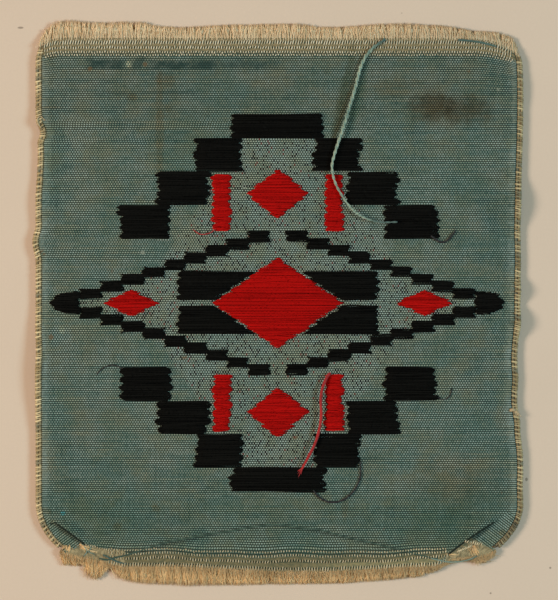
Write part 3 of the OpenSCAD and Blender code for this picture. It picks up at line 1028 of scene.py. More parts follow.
@dataclass(frozen=True)
class FloatFinish:
    """Dense satin of coloured weft floats."""

    name: str
    base: Colour
    deep: Colour
    dust: Colour
    dusting: float
    roughness: float = 0.75
    shine: float = 0.04

    def material(self) -> Material:
        """Build the finish of one colour of floats.

        Returns:
            The material.
        """
        r = Recipe(self.name)
        place = r.place()
        turn, along = r.threads()
        shade = r.number(SHADE)
        fine = r.noise(place * (0.6, 3.5, 3.5), 1.2, 3.0, 0.6)
        twist = r.math("SINE", (turn + along / 0.55) * (2 * math.pi))
        # The strands' shade holds their random tone, and painted shade on the lower layer and on the core
        light = r.step(shade * 0.7 + fine * 0.6, 0.30, 0.95)
        colour = r.blend(light, self.deep, self.base)
        worn = r.step(r.noise(place, 0.9, 4.0, 0.65), 0.60, 0.75) * self.dusting
        colour = r.blend(worn, colour, self.dust)
        rough = r.step(fine, 0.2, 0.8, self.roughness, self.roughness + 0.2)
        return r.finish(colour, rough, self.shine, 0.0, twist * 0.5 + 0.5, 0.02)


@dataclass(frozen=True)
class PlyFinish:
    """Loose thread of soft twisted plies."""

    name: str
    light: Colour
    dark: Colour
    roughness: float = 0.70
    twist_mm: float = 0.9
    # Colour of both ends, and the distances along the thread where the first stops and the last starts
    ends: Colour | None = None
    near_mm: float = 3.2
    far_mm: float = 28.5

    def material(self) -> Material:
        """Build the finish of a loose thread.

        Returns:
            The material.
        """
        r = Recipe(self.name)
        place = r.place()
        turn, along = r.threads()
        hair = r.noise(r.vector(turn * 4.0, along * 1.3, 0.0), 1.6, 3.0, 0.65)
        patches = r.noise(place, 0.35, 2.0, 0.5)
        light = r.step(hair * 0.7 + patches * 0.6 + r.number(SHADE) * 0.2, 0.45, 0.95)
        colour = r.blend(light, self.dark, self.light)
        if self.ends is not None:
            faded = r.most(r.step(along, self.near_mm, 0.3),
                           r.step(along, self.far_mm, self.far_mm + 3.0))
            colour = r.blend(faded * 0.85, colour, self.ends)
        twist = r.math("SINE", (turn + along / self.twist_mm) * (4 * math.pi)) * 0.5 + 0.5
        return r.finish(colour, self.roughness, 0.25, 0.15, twist * 0.6 + hair * 0.4, 0.04)


@dataclass(frozen=True)
class BoardFinish:
    """Pale matt board under the patch."""

    colour: Colour = (0.640, 0.520, 0.388)
    mottle: float = 0.035
    # Each mark is x, y, half length along x and along y
    marks: Table = ((36.5, -35.5, 0.16, 0.15), (28.5, -38.9, 0.14, 0.14), (33.3, -23.65, 0.20, 0.26),
                    (-34.5, 36.9, 0.42, 0.16))

    def material(self) -> Material:
        """Build the finish of the board.

        Returns:
            The material.
        """
        r = Recipe("pale_board")
        place = r.place()
        cloudy = r.noise(place, 0.05, 4.0, 0.6)
        grain = r.noise(place, 3.0, 3.0, 0.6)
        tone = (cloudy - 0.5) * (2 * self.mottle) + (grain - 0.5) * 0.06 + 1.0
        colour = r.vector(tone, tone, tone) * self.colour
        specks = r.specks(place, 0.16, 0.028)
        colour = r.blend(specks * 0.55, colour, (0.12, 0.09, 0.06))
        x, y, _ = r.parts(place)
        for at_x, at_y, half_x, half_y in self.marks:
            dx, dy = (x - at_x) / half_x, (y - at_y) / half_y
            colour = r.blend(r.step(dx * dx + dy * dy, 1.3, 0.4, 0.0, 0.6), colour, (0.13, 0.10, 0.07))
        return r.finish(colour, 0.9, 0.15, 0.0, grain, 0.02)


class Strands:
    """Closed tubes of one piece, gathered until tie() makes its mesh."""

    def __init__(self, piece: str, sides: int, seed: int = 0, power: float = 1.0) -> None:
        """Start a piece.

        Args:
            piece: Name of the piece.
            sides: Number of sides of each tube.
            seed: Seed of the unevenness of its strands.
            power: 1 for a round section, less for a squarer one.
        """
        self.piece, self.sides, self.power = piece, sides, power
        self.rng = np.random.default_rng(seed)
        self.points: list[Array] = []
        self.faces: list[Array] = []
        self.threads: list[Array] = []
        self.baked: list[Array] = []
        self.shades: list[Array] = []
        self.count = 0

    def lay(self, paths: Array, half_width: Array | float, half_height: Array | float, shade: Array | float,
            bake: Array, spread: Point) -> None:
        """Add tubes that have the same number of points.

        Args:
            paths: Points of each tube's centre line, as tube, point and x, y, z.
            half_width: Half of the width at each point, level with the board.
            half_height: Half of the height at each point.
            shade: Lightness of each tube, from 0 to 1.
            bake: Place of each point on the bake's map.
            spread: Size of a tube's unrolled strip on that map.
        """
        tubes, length = paths.shape[:2]
        halves = [np.broadcast_to(half, (tubes, length))[..., None] for half in (half_width, half_height)]
        out, up = across(paths)
        ring = []
        for angle in 2 * math.pi * (np.arange(self.sides) + 0.5) / self.sides:
            wide, tall = (np.sign(v) * np.abs(v) ** self.power for v in (np.cos(angle), np.sin(angle)))
            ring.append(paths + out * wide * halves[0] + up * tall * halves[1])
        points = np.stack(ring, axis=2)
        at = (np.arange(points.size // 3) + self.count).reshape(points.shape[:3])
        self.count += at.size
        after = np.roll(at, -1, axis=2)
        walls = np.stack([at[:, :-1], at[:, 1:], after[:, 1:], after[:, :-1]], axis=3)
        self.faces.append(walls.reshape(-1, 4))
        self.points.append(points.reshape(-1, 3))
        self.shades.append(np.repeat(np.broadcast_to(shade, tubes), length * self.sides))
        self._map_tubes(at, distances(paths), bake, spread)

    def _map_tubes(self, at: Array, along: Array, bake: Array, spread: Point) -> None:
        """Give the walls of the tubes their places on both maps, and close their ends.

        Args:
            at: Number of each point, as tube, point and side.
            along: Distance of each point from the start of its tube.
            bake: Place of each point on the bake's map.
            spread: Size of a tube's unrolled strip on that map.
        """
        turn = np.arange(self.sides + 1) / self.sides
        threads, baked = (np.empty((len(along), along.shape[1] - 1, self.sides, 4, 2)) for _ in range(2))
        starts, stops = slice(None, -1), slice(1, None)
        corners = ((starts, starts), (starts, stops), (stops, stops), (stops, starts))
        for corner, (side, point) in enumerate(corners):
            threads[..., corner, 0] = turn[side]
            threads[..., corner, 1] = along[:, point, None]
            for axis in (0, 1):
                baked[..., corner, axis] = bake[:, point, None, axis] + (turn[side] - 0.5) * spread[axis]
        self.threads.append(threads.reshape(-1, 2))
        self.baked.append(baked.reshape(-1, 2))
        for end, order in ((0, 1), (-1, -1)):
            self.faces.append(at[:, end, ::order])
            self.threads.append(np.repeat(pair(0.0, along[:, end]), self.sides, axis=0))
            self.baked.append(np.repeat(bake[:, end], self.sides, axis=0))

    def solid(self, outline: Array, low: float, high: float, shade: float, bake: Array) -> None:
        """Add a low solid with a flat top, to close the ground below the strands.

        Args:
            outline: Points of its outline, anticlockwise seen from above.
            low: Height of its underside.
            high: Height of its top.
            shade: Its lightness, from 0 to 1.
            bake: Place of each outline point on the bake's map.
        """
        count = len(outline)
        at = np.arange(2 * count).reshape(2, count) + self.count
        self.count += 2 * count
        after = np.roll(at, -1, axis=1)
        self.points.extend(np.column_stack([outline, np.full(count, z)]) for z in (low, high))
        self.shades.append(np.full(2 * count, shade))
        next_bake = np.roll(bake, -1, axis=0)
        for faces, corners in ((at[1][None], bake), (at[0][None, ::-1], bake[::-1]),
                               (np.stack([at[0], after[0], after[1], at[1]], axis=1),
                                np.stack([bake, next_bake, next_bake, bake], axis=1).reshape(-1, 2))):
            self.faces.append(faces)
            self.threads.append(np.zeros((faces.size, 2)))
            self.baked.append(corners)

    def tie(self, material: Material, slot: str) -> Piece:
        """Make the mesh of the piece and let it ride on the part."""
        return make_piece(self.piece, np.concatenate(self.points), self.faces,
                          {THREAD_MAP: self.threads, BAKE_MAP: self.baked},
                          {SHADE: np.concatenate(self.shades)}, material)


def make_piece(name: str, points: Array, faces: Sequence[Array],
               maps: Mapping[str, Sequence[Array]], numbers: Mapping[str, Array],
               material: Material) -> Piece:
    """Make one smooth mesh piece that rides on the part.

    Args:
        name: Name of the piece.
        points: Its points in millimetres.
        faces: Arrays of faces, each with one number of corners.
        maps: Coordinates of every face corner, by the name of the map.
        numbers: A number for every point, by name.
        material: Its finish.

    Returns:
        The piece.
    """
    mesh = bpy.data.meshes.new(name)
    corners = np.concatenate([f.ravel() for f in faces]).astype(np.int32)
    sizes = np.concatenate([np.full(len(f), f.shape[1]) for f in faces])
    starts = np.concatenate([[0], np.cumsum(sizes)[:-1]]).astype(np.int32)
    mesh.vertices.add(len(points))
    mesh.vertices.foreach_set("co", (points * MM).astype(np.float32).ravel())
    mesh.loops.add(len(corners))
    mesh.loops.foreach_set("vertex_index", corners)
    mesh.polygons.add(len(sizes))
    mesh.polygons.foreach_set("loop_start", starts)
    mesh.polygons.foreach_set("use_smooth", np.ones(len(sizes), bool))
    for map_name, parts in maps.items():
        layer = mesh.uv_layers.new(name=map_name, do_init=False)
        places = np.concatenate([np.asarray(p).reshape(-1, 2) for p in parts])
        if map_name == BAKE_MAP:
            places = np.clip(places, 0.0, 1.0)
        layer.uv.foreach_set("vector", places.astype(np.float32).ravel())
    for number_name, values in numbers.items():
        attribute = mesh.attributes.new(number_name, "FLOAT", "POINT")
        attribute.data.foreach_set("value", values.astype(np.float32))
    mesh.update(calc_edges=True)
    mesh.validate()
    mesh.materials.append(material)
    piece = bpy.data.objects.new(name, mesh)
    bpy.context.scene.collection.objects.link(piece)
    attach(piece, BODY)
    LOG.info("%s: %d points, %d faces", name, len(points), len(sizes))
    return piece


@dataclass
class Studio:
    """Camera over the patch, two soft side lights, pale surroundings and the board."""

    # Length along the picture's longer side, and the height at which it is measured
    view_long: float = 80.16
    level: float = 1.0
    centre: Point = (0.134, 0.40)
    lens: float = 135.0
    sensor: float = 36.0
    light_far: float = 600.0
    light_size: float = 215.0
    left_angle: float = 41.0
    right_angle: float = 41.5
    # Radiance that each light gives a white board, as red, green and blue
    left_light: Colour = (0.514, 0.439, 0.407)
    right_light: Colour = (0.216, 0.347, 0.431)
    around: Colour = (0.270, 0.214, 0.162)
    board: BoardFinish = field(default_factory=BoardFinish)
    board_half_m: float = 1.5

    def set_camera(self) -> None:
        """Set the camera straight over the patch, with the photograph's frame."""
        data = bpy.data.cameras.new("camera")
        data.lens = self.lens
        data.sensor_width = self.sensor
        data.clip_start = 0.01
        data.clip_end = 10.0
        camera = bpy.data.objects.new("camera", data)
        far = self.lens * self.view_long / self.sensor
        camera.location = (self.centre[0] * MM, self.centre[1] * MM, (far + self.level) * MM)
        bpy.context.scene.collection.objects.link(camera)
        bpy.context.scene.camera = camera

    def set_lights(self) -> None:
        """Set the two side lights and the even light around them."""
        for side, colour, elevation in ((Side.LEFT, self.left_light, self.left_angle),
                                        (Side.RIGHT, self.right_light, self.right_angle)):
            angle = math.radians(elevation)
            data = bpy.data.lights.new(f"side_light_{side.name.lower()}", "AREA")
            data.shape = "DISK"
            data.size = self.light_size * MM
            peak = max(colour)
            data.color = tuple(c / peak for c in colour)
            far = self.light_far * MM
            data.energy = peak * math.pi ** 2 * far ** 2 / math.sin(angle)
            light = bpy.data.objects.new(data.name, data)
            light.location = (side * far * math.cos(angle), 0.0, far * math.sin(angle))
            light.rotation_euler = (0.0, side * (math.pi / 2 - angle), 0.0)
            bpy.context.scene.collection.objects.link(light)
        world = bpy.data.worlds.new("pale_room")
        world.use_nodes = True
        background = world.node_tree.nodes["Background"]
        background.inputs["Color"].default_value = (*self.around, 1.0)
        background.inputs["Strength"].default_value = 1.0
        bpy.context.scene.world = world
        bpy.context.scene.view_settings.view_transform = "Standard"

    def lay_board(self) -> None:
        """Lay the pale board under the patch."""
        half = self.board_half_m
        mesh = bpy.data.meshes.new("board")
        corners = [(-half, -half, 0.0), (half, -half, 0.0), (half, half, 0.0), (-half, half, 0.0)]
        mesh.from_pydata(corners, [], [(0, 1, 2, 3)])
        mesh.materials.append(self.board.material())
        board = bpy.data.objects.new("board", mesh)
        bpy.context.scene.collection.objects.link(board)


@dataclass
class LooseThread:
    """Pale two-ply thread that lies over the upper right of the patch."""

    # Each point is x, y, z
    route: Table = ((14.3, 35.2, 1.3), (12.4, 33.8, 1.35), (11.1, 31.7, 1.4), (10.3, 28.7, 1.4),
                    (9.6, 26.4, 1.5), (8.7, 23.4, 1.7), (7.7, 20.4, 1.75), (7.2, 18.3, 1.75),
                    (7.5, 16.4, 1.7), (8.3, 14.7, 1.7), (9.6, 12.8, 1.75), (11.2, 11.5, 1.75),
                    (13.4, 10.8, 1.75), (15.9, 10.8, 1.75))
    width: float = 0.38
    parts: int = 8
    length_m: float = 0.0318
    diameter_m: float = 0.00038
    # Length in which a ply winds round once
    wind: float = 1.7
    finish: PlyFinish = PlyFinish("pale_thread", (0.34, 0.43, 0.31), (0.095, 0.18, 0.135),
                                  ends=(0.05, 0.10, 0.085))

    def line(self) -> Array:
        """Give the centre line of the thread, in millimetres."""
        return smooth_route(self.route, self.parts)

    def build(self) -> Piece:
        """Returns:
            The thread.
        """
        line = self.line()
        strands = Strands("loose_thread_plies", 8)
        along = distances(line)
        out, up = across(line)
        slim = np.interp(along, (0, 3, 15, 20, 30, along[-1]), (1.0, 1.2, 1.2, 0.85, 0.72, 0.60))
        half = 0.31 * self.width * slim
        for ply in (0.0, math.pi):
            angle = (along / self.wind * 2 * math.pi + ply)[:, None]
            path = line + (out * np.cos(angle) + up * np.sin(angle)) * (0.27 * self.width * slim)[:, None]
            bake = pair(along / along[-1], 0.25 + 0.5 * (ply > 0))
            strands.lay(path[None], half, half, 0.5 + 0.2 * math.cos(ply), bake[None], (0.0, 0.45))
        piece = strands.tie(self.finish.material(), "pale_thread")
        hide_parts("loose_thread")
        return piece


def smooth_route(route: Sequence[Sequence[float]], parts: int) -> Array:
    """Give the Catmull-Rom curve through a route.

    Args:
        route: Points that the curve passes.
        parts: Number of steps between two of them.

    Returns:
        Points of the curve.
    """
    p = np.asarray(route, float)
    last = len(p) - 1
    points = []
    for i in range(last):
        a, b, c, d = p[max(0, i - 1)], p[i], p[i + 1], p[min(last, i + 2)]
        for t in np.arange(parts) / parts:
            points.append(0.5 * (2 * b + (c - a) * t + (2 * a - 5 * b + 4 * c - d) * t ** 2
                                 + (3 * b - a - 3 * c + d) * t ** 3))
    return np.array([*points, p[last]])


def outline_reach(points: Array, outlines: Sequence[Sequence[Point]]) -> Array:
    """Measure how far points lie inside the nearest of some outlines.

    Args:
        points: Points as x and y.
        outlines: Closed outlines.

    Returns:
        Distance to the nearest edge, below 0 outside all outlines.
    """
    best = np.full(len(points), FAR_OUT)
    for outline in outlines:
        ring = np.asarray(outline, float)
        after = np.roll(ring, -1, axis=0)
        inside = np.zeros(len(points), bool)
        near = np.full(len(points), -FAR_OUT)
        for (ax, ay), (bx, by) in zip(ring, after):
            dx, dy = bx - ax, by - ay
            px, py = points[:, 0] - ax, points[:, 1] - ay
            share = np.clip((px * dx + py * dy) / max(dx * dx + dy * dy, 1e-12), 0, 1)
            near = np.minimum(near, np.hypot(px - share * dx, py - share * dy))
            crosses = (ay > points[:, 1]) != (by > points[:, 1])
            if dy != 0:
                inside ^= crosses & (px < dx * (points[:, 1] - ay) / dy)
        best = np.maximum(best, np.where(inside, near, -near))
    return best


@dataclass
class GroundCloth:
    """Plain-woven cloth, with one point of its upper side at each crossing of the threads."""

    shape: ClothShape
    emblem: Emblem
    warp_ends: int = 364
    # Distances of the first rows from the bottom and the top edge
    low_rows: tuple[float, ...] = (0.0, 0.27, 1.08, 1.70, 2.20, 2.60, 2.95)
    high_rows: tuple[float, ...] = (2.90, 2.60, 2.27, 1.86, 1.27, 0.57, 0.0)
    even_rows: int = 227
    # Each row is y, and how close the wefts lie there against their mean
    beats: Table = ((-29.5, 1.0), (-24.2, 1.036), (-18.8, 0.994), (-13.5, 0.987), (-8.1, 0.966),
                    (-2.8, 0.994), (2.5, 1.011), (7.9, 1.032), (13.2, 0.972), (18.6, 1.0),
                    (23.9, 1.004), (29.3, 0.983))
    # Outlines of the tan heading where a pleat turns it up at a corner
    corner_tans: tuple[Table, ...] = (
        ((22.4, -33.8), (23.8, -32.7), (25.7, -31.4), (27.5, -32.4), (28.9, -33.1), (28.4, -34.9),
         (26.0, -35.2), (22.6, -35.0)),
        ((-25.9, -32.5), (-23.0, -32.9), (-20.5, -33.1), (-20.5, -35.9), (-28.5, -35.2), (-28.2, -33.2)),
    )
    crown: float = 0.034
    # Points of the underside along x and y, and how far they reach from the middle
    grid_under: tuple[int, int] = (84, 92)
    reach_under: Point = (32.0, 35.0)
    # Cosine and sine of the wefts' slope on the corner flaps, pitch of the warp and the weft there, and the
    # number from which those wefts are counted
    flap_lean: Point = (0.79, 0.61)
    flap_pitch: Point = (0.177, 0.30)
    flap_first: float = 400.0
    # Half of the width and the height of the cloth's map, and the share of it that the underside takes
    map_half: Point = (33.2, 36.0)
    map_under: float = 0.40
    finish: WeaveFinish = WeaveFinish()

    def rows(self) -> Array:
        """Give the heights of the weft rows at the middle of the patch.

        Returns:
            Heights from the bottom edge to the top edge.
        """
        low = np.array(self.low_rows) - self.shape.bottom_y
        high = self.shape.top_y - np.array(self.high_rows)
        fine = np.linspace(low[-1], high[0], 2000)
        beaten = np.cumsum(np.interp(fine, *zip(*self.beats)))
        share = (beaten - beaten[0]) / (beaten[-1] - beaten[0])
        even = np.interp(np.linspace(0, 1, self.even_rows + 1)[1:-1], share, fine)
        return np.concatenate([low, even, high])

    def grid(self) -> tuple[Array, Array, Array]:
        """Lay out the crossings, drawn in to the rounded corners.

        Returns:
            x and y of each crossing by row and warp end, and the number of its point.
        """
        shape, rows = self.shape, self.rows()
        ends = np.arange(self.warp_ends)
        left, right = shape.warp_span(rows)
        x = left[:, None] + (right - left)[:, None] * (ends / (self.warp_ends - 1))
        low, high = (side * (shape.side_x(side, rows) - shape.strip(side, rows))[:, None]
                     for side in (-1, 1))
        first = np.sum(x < low - 1e-6, axis=1) - 1
        last = self.warp_ends - np.sum(x > high + 1e-6, axis=1)
        keep = np.clip(ends, np.maximum(first, 0)[:, None], np.minimum(last, self.warp_ends - 1)[:, None])
        x = np.take_along_axis(np.clip(x, low, high), keep, axis=1)
        return x, self.bent_row(x, rows[:, None]), np.arange(len(rows))[:, None] * self.warp_ends + keep

    def bent_row(self, x: Array, y: Array) -> Array:
        """Give the height at x of the weft row that lies at y on the flat cloth."""
        return self.shape.row_y(x, y + 0 * x) + self.wave(x, y)

    def wave(self, x: Array, y: Array) -> Array:
        """Give the gentle wave of the last picks above the bottom edge.

        Args:
            x: Distances from the middle line.
            y: Heights of the rows.

        Returns:
            How far each row is moved up.
        """
        near = ease(1 - (y + 34.4) / 5.0) * ease((y + self.shape.bottom_y) / 1.2)
        inner = ease((24 - np.abs(x)) / 4)
        return near * inner * (0.13 * np.sin(x / 3.1 + 0.6) + 0.09 * np.sin(x / 1.35))

    def build(self) -> Piece:
        """Build the cloth as one closed mesh and let it replace its node.

        Returns:
            The cloth.
        """
        x, y, number = self.grid()
        row, end = np.ogrid[:x.shape[0], :x.shape[1]]
        checker = 1.0 - 2.0 * ((row + end) % 2)
        edge = np.minimum(np.minimum(row, row[::-1]), np.minimum(end, end[:, ::-1]))
        crown = self.crown * checker * np.clip(edge / 2.0, 0, 1) * (1 - 0.7 * self.flap_side(x, y))
        top = np.dstack([x, y, self.shape.over(x, y) + crown]).reshape(-1, 3)
        a, b, c, d = (corner.ravel() for corner in (number[:-1, :-1], number[:-1, 1:],
                                                    number[1:, 1:], number[1:, :-1]))
        faces = np.concatenate([np.stack([a, b, c], axis=1), np.stack([a, c, d], axis=1)])
        used, faces = np.unique(faces[self.doubled_area(top, faces) > 1e-7], return_inverse=True)
        top, faces = top[used], faces.reshape(-1, 3)
        under, under_faces, rim = self.underside(top[:, :2], faces)
        return self.dress(top, faces, under, under_faces, rim)

    @staticmethod
    def doubled_area(points: Array, faces: Array) -> Array:
        """Give twice the area of each triangle, seen from above."""
        p, q, s = (points[faces[:, k]] for k in range(3))
        return (q[:, 0] - p[:, 0]) * (s[:, 1] - p[:, 1]) - (q[:, 1] - p[:, 1]) * (s[:, 0] - p[:, 0])

    def flap_side(self, x: Array, y: Array) -> Array:
        """Give 1 on the corner side of a pleat's fold line, and 0 elsewhere."""
        return sum((x * row[0] > 20) & (y < -26) & (inward < 0) & (share > -0.25) & (share < 1.4)
                   for row, share, inward in self.shape.on_pleats(x, y))

    def underside(self, flat: Array, faces: Array) -> tuple[Array, Array, Array]:
        """Build the coarser underside inside the rim of the upper side.

        Args:
            flat: x and y of the upper side's points.
            faces: Its triangles.

        Returns:
            Points of the underside, its triangles, and the numbers of the upper side's rim in order.
        """
        edges = np.concatenate([faces[:, (0, 1)], faces[:, (1, 2)], faces[:, (2, 0)]])
        keys, back = (edges[:, k].astype(np.int64) * len(flat) + edges[:, 1 - k] for k in (0, 1))
        open_edges = edges[~np.isin(keys, back)].tolist()
        after = dict(open_edges)
        rim = [open_edges[0][0]]
        while after[rim[-1]] != rim[0]:
            rim.append(after[rim[-1]])
        if len(rim) != len(after):
            raise RuntimeError(f"the rim of the cloth is not one loop: {len(rim)} of {len(after)}")
        ring = flat[rim]
        gx, gy = np.meshgrid(*(np.linspace(-far, far, n)
                               for far, n in zip(self.reach_under, self.grid_under)))
        inner = np.column_stack([gx.ravel(), gy.ravel()])
        inner = inner[outline_reach(inner, [ring.tolist()]) > 0.3]
        loop = [(i, (i + 1) % len(rim)) for i in range(len(rim))]
        points, _, triangles, *_ = delaunay_2d_cdt(np.concatenate([ring, inner]).tolist(), loop, [], 1, 1e-6)
        if len(points) != len(ring) + len(inner):
            raise RuntimeError("the underside lost points of its rim")
        placed = np.array([tuple(p) for p in points])
        under = np.column_stack([placed, self.shape.under(placed[:, 0], placed[:, 1])])
        return under, np.array(triangles), np.array(rim)

    def dress(self, top: Array, faces: Array, under: Array, under_faces: Array, rim: Array) -> Piece:
        """Join both sides with the rim, lay the maps on them and make the piece.

        Args:
            top: Points of the upper side.
            faces: Triangles of the upper side.
            under: Points of the underside, the rim's first.
            under_faces: Triangles of the underside.
            rim: Numbers of the upper side's rim points, in order.

        Returns:
            The cloth.
        """
        if self.doubled_area(under, under_faces)[0] > 0:
            under_faces = under_faces[:, ::-1]
        below = np.arange(len(rim)) + len(top)
        walls = np.stack([rim, below, np.roll(below, -1), np.roll(rim, -1)], axis=1)
        points = np.concatenate([top, under])
        all_faces = [faces, under_faces + len(top), walls]
        threads = [self.thread_places(points, f) for f in all_faces]
        baked = [self.bake_places(points, f, low) for f, low in zip(all_faces, (False, True, True))]
        # Depth of the pleats' grooves, which the finish turns into painted shade
        pinch = self.shape.groove(top[:, 0], top[:, 1]) / self.shape.groove_deep
        # Each is a number for the points of the upper side, and one for those of the underside
        halves = {"underside": (0.0, 1.0),
                  "corner_tan": (outline_reach(top[:, :2], self.corner_tans), FAR_OUT),
                  "pinch": (pinch, 0.0)}
        for name, yarn in (("black_reach", Yarn.BLACK), ("red_reach", Yarn.RED)):
            outlines = [outline for found, outline in self.emblem.outlines().values() if found is yarn]
            halves[name] = (FAR_OUT, outline_reach(under[:, :2], outlines))
        numbers = {name: np.concatenate([np.broadcast_to(high, len(top)), np.broadcast_to(low, len(under))])
                   for name, (high, low) in halves.items()}
        piece = make_piece("ground_cloth_weave", points, all_faces,
                           {THREAD_MAP: threads, BAKE_MAP: baked}, numbers, self.finish.material())
        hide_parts("ground_cloth")
        return piece

    def thread_places(self, points: Array, faces: Array) -> Array:
        """Give the warp and weft numbers at every face corner.

        Args:
            points: Points of the cloth.
            faces: Faces of the cloth.

        Returns:
            Warp and weft number of each corner.
        """
        rows = self.rows()
        x, y = points[:, 0], points[:, 1]
        weft = np.interp(self.shape.flat_y(x, y - self.wave(x, y)), rows, np.arange(len(rows)))
        left, right = self.shape.warp_span(y)
        place = pair((x - left) / (right - left) * (self.warp_ends - 1), weft)[faces]
        middle = points[faces].mean(axis=1)
        flap = self.flap_side(middle[:, 0], middle[:, 1]) > 0
        # On the corner flaps the wefts run to the rounded edge
        out, up = np.abs(x)[faces[flap]], y[faces[flap]]
        (cos, sin), (warp_pitch, weft_pitch) = self.flap_lean, self.flap_pitch
        place[flap] = pair((cos * out - sin * up) / warp_pitch,
                           (sin * out + cos * up) / weft_pitch + self.flap_first)
        return place

    def bake_places(self, points: Array, faces: Array, low: bool) -> Array:
        """Give the place of every face corner on the bake's map, the upper side above the underside.

        Args:
            points: Points of the cloth.
            faces: Faces of the cloth.
            low: True for the underside and the rim.

        Returns:
            Place of each corner.
        """
        place = (points[:, :2] + self.map_half) / np.multiply(self.map_half, 2)
        above = self.map_under + 0.02
        return (place * self.map_under if low else place * (1.0, 1.0 - above) + (0.0, above))[faces]


@dataclass
class Selvedge:
    """One beaded edge cord."""

    shape: ClothShape
    side: Side
    inner: bool
    bead: float = 0.571
    rings: int = 6
    blunt: float = 0.6
    # Each row is distance inwards from the outer cord's middle, and height above it
    wrap_section: Table = ((-0.20, 0.30), (-0.12, 0.43), (0.05, 0.49), (0.215, 0.46), (0.38, 0.49),
                           (0.55, 0.43), (0.63, 0.30))
    wrap_slant: float = 0.08

    def name(self) -> str:
        """Give the name of the cord's node."""
        return f"selvedge_{self.side.name.lower()}_{'inner' if self.inner else 'outer'}"

    def build(self, material: Material) -> Piece:
        """Build the cord with a swelling for each bead and let it replace its node.

        Args:
            material: Finish of the edge cords.

        Returns:
            The cord.
        """
        shape, side = self.shape, int(self.side)
        fine = np.linspace(shape.cord_end_y, shape.top_y - 0.25, 2400)
        inset = shape.cord_w / 2 + (shape.cord_w + shape.gap if self.inner else 0.0)
        x = side * (shape.side_x(side, fine) - inset * shape.stretch(side, fine))
        line = np.column_stack([x, shape.row_y(x, fine), shape.cloth_t / 2 + shape.edge_lift(x, fine)])
        along = distances(line)
        beads = round(float(distances(pair(shape.side_x(side, fine), fine))[-1]) / self.bead)
        share = np.linspace(0, 1, beads * self.rings + 1)
        path = np.column_stack([np.interp(share * along[-1], along, column) for column in line.T])
        phase = share * beads + 0.5 * self.inner
        swell = np.abs(np.sin(np.pi * phase)) ** 0.55
        strands = Strands(f"{self.name()}_beads", 8, 40 + 2 * side + self.inner, self.blunt)
        each = strands.rng.uniform(0.90, 1.04, beads + 2)[np.floor(phase).astype(int)]
        half = 0.5 * shape.cord_w * (1.08 + 0.08 * swell) * each
        tall = 0.5 * shape.cord_h * (0.84 + 0.18 * swell) * np.clip(each, 0, 1)
        path[:, 2] += 0.02 * swell
        # Its shade of 0.5 paints the cord darker than its wraps, as painted shade under them
        strands.lay(path[None], half, tall, 0.5, pair(0.5, share)[None], (0.98, 0.0))
        # The beads' waists have to meet the finish's gaps, so its distances are counted in beads
        for places in strands.threads:
            places[:, 1] = (places[:, 1] / along[-1] * beads + 0.5 * self.inner) * self.bead
        if not self.inner:
            self.add_wraps(strands, path, beads)
        piece = strands.tie(material, "selvedge_cord")
        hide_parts(self.name())
        return piece

    def add_wraps(self, strands: Strands, path: Array, beads: int) -> None:
        """Lay the yarns that wrap both cords of this side together.

        Args:
            strands: The outer cord's strands.
            path: Centre line of the outer cord, with the same number of points to each bead.
            beads: Number of beads.
        """
        rng = strands.rng
        first = np.arange(beads - 1)
        thin = first[rng.uniform(0, 1, beads - 1) < 0.45]
        bead = np.concatenate([first, thin])
        number = bead + np.repeat([0.5, 0.92], [len(first), len(thin)])
        at = np.round(number * self.rings).astype(int)
        one = (len(at), 1)
        ahead = unit((path[at + 1] - path[at - 1])[:, :2])
        inward = -int(self.side) * ahead[:, ::-1] * (1, -1)
        reach, high = np.array(self.wrap_section).T
        inwards = reach + rng.normal(0, 0.02, one)
        slant = self.wrap_slant * rng.uniform(0.4, 1.5, one)
        shift = slant * (reach - 0.215) / 0.4 + rng.normal(0, 0.025, one)
        flat = path[at][:, None, :2] + inward[:, None] * inwards[..., None]
        flat = flat + ahead[:, None] * shift[..., None]
        z = path[at][:, None, 2] + high + rng.normal(0, 0.008, one)
        half = np.concatenate([rng.uniform(0.095, 0.125, len(first)), rng.uniform(0.035, 0.055, len(thin))])
        half = half[:, None] * (0.5, 0.8, 1.0, 1.0, 1.0, 0.8, 0.5)
        place = pair((reach + 0.3) / 1.1, (number / beads)[:, None])
        strands.lay(np.dstack([flat, z]), half, 0.035, rng.uniform(0.75, 1.0, len(at)), place,
                    (0.0, 0.4 / beads))
        # Each yarn takes the colour of the middle of its bead
        for places in strands.threads[-3:]:
            places[:, 1] = np.repeat((bead + 0.5) * self.bead, len(places) // len(bead))


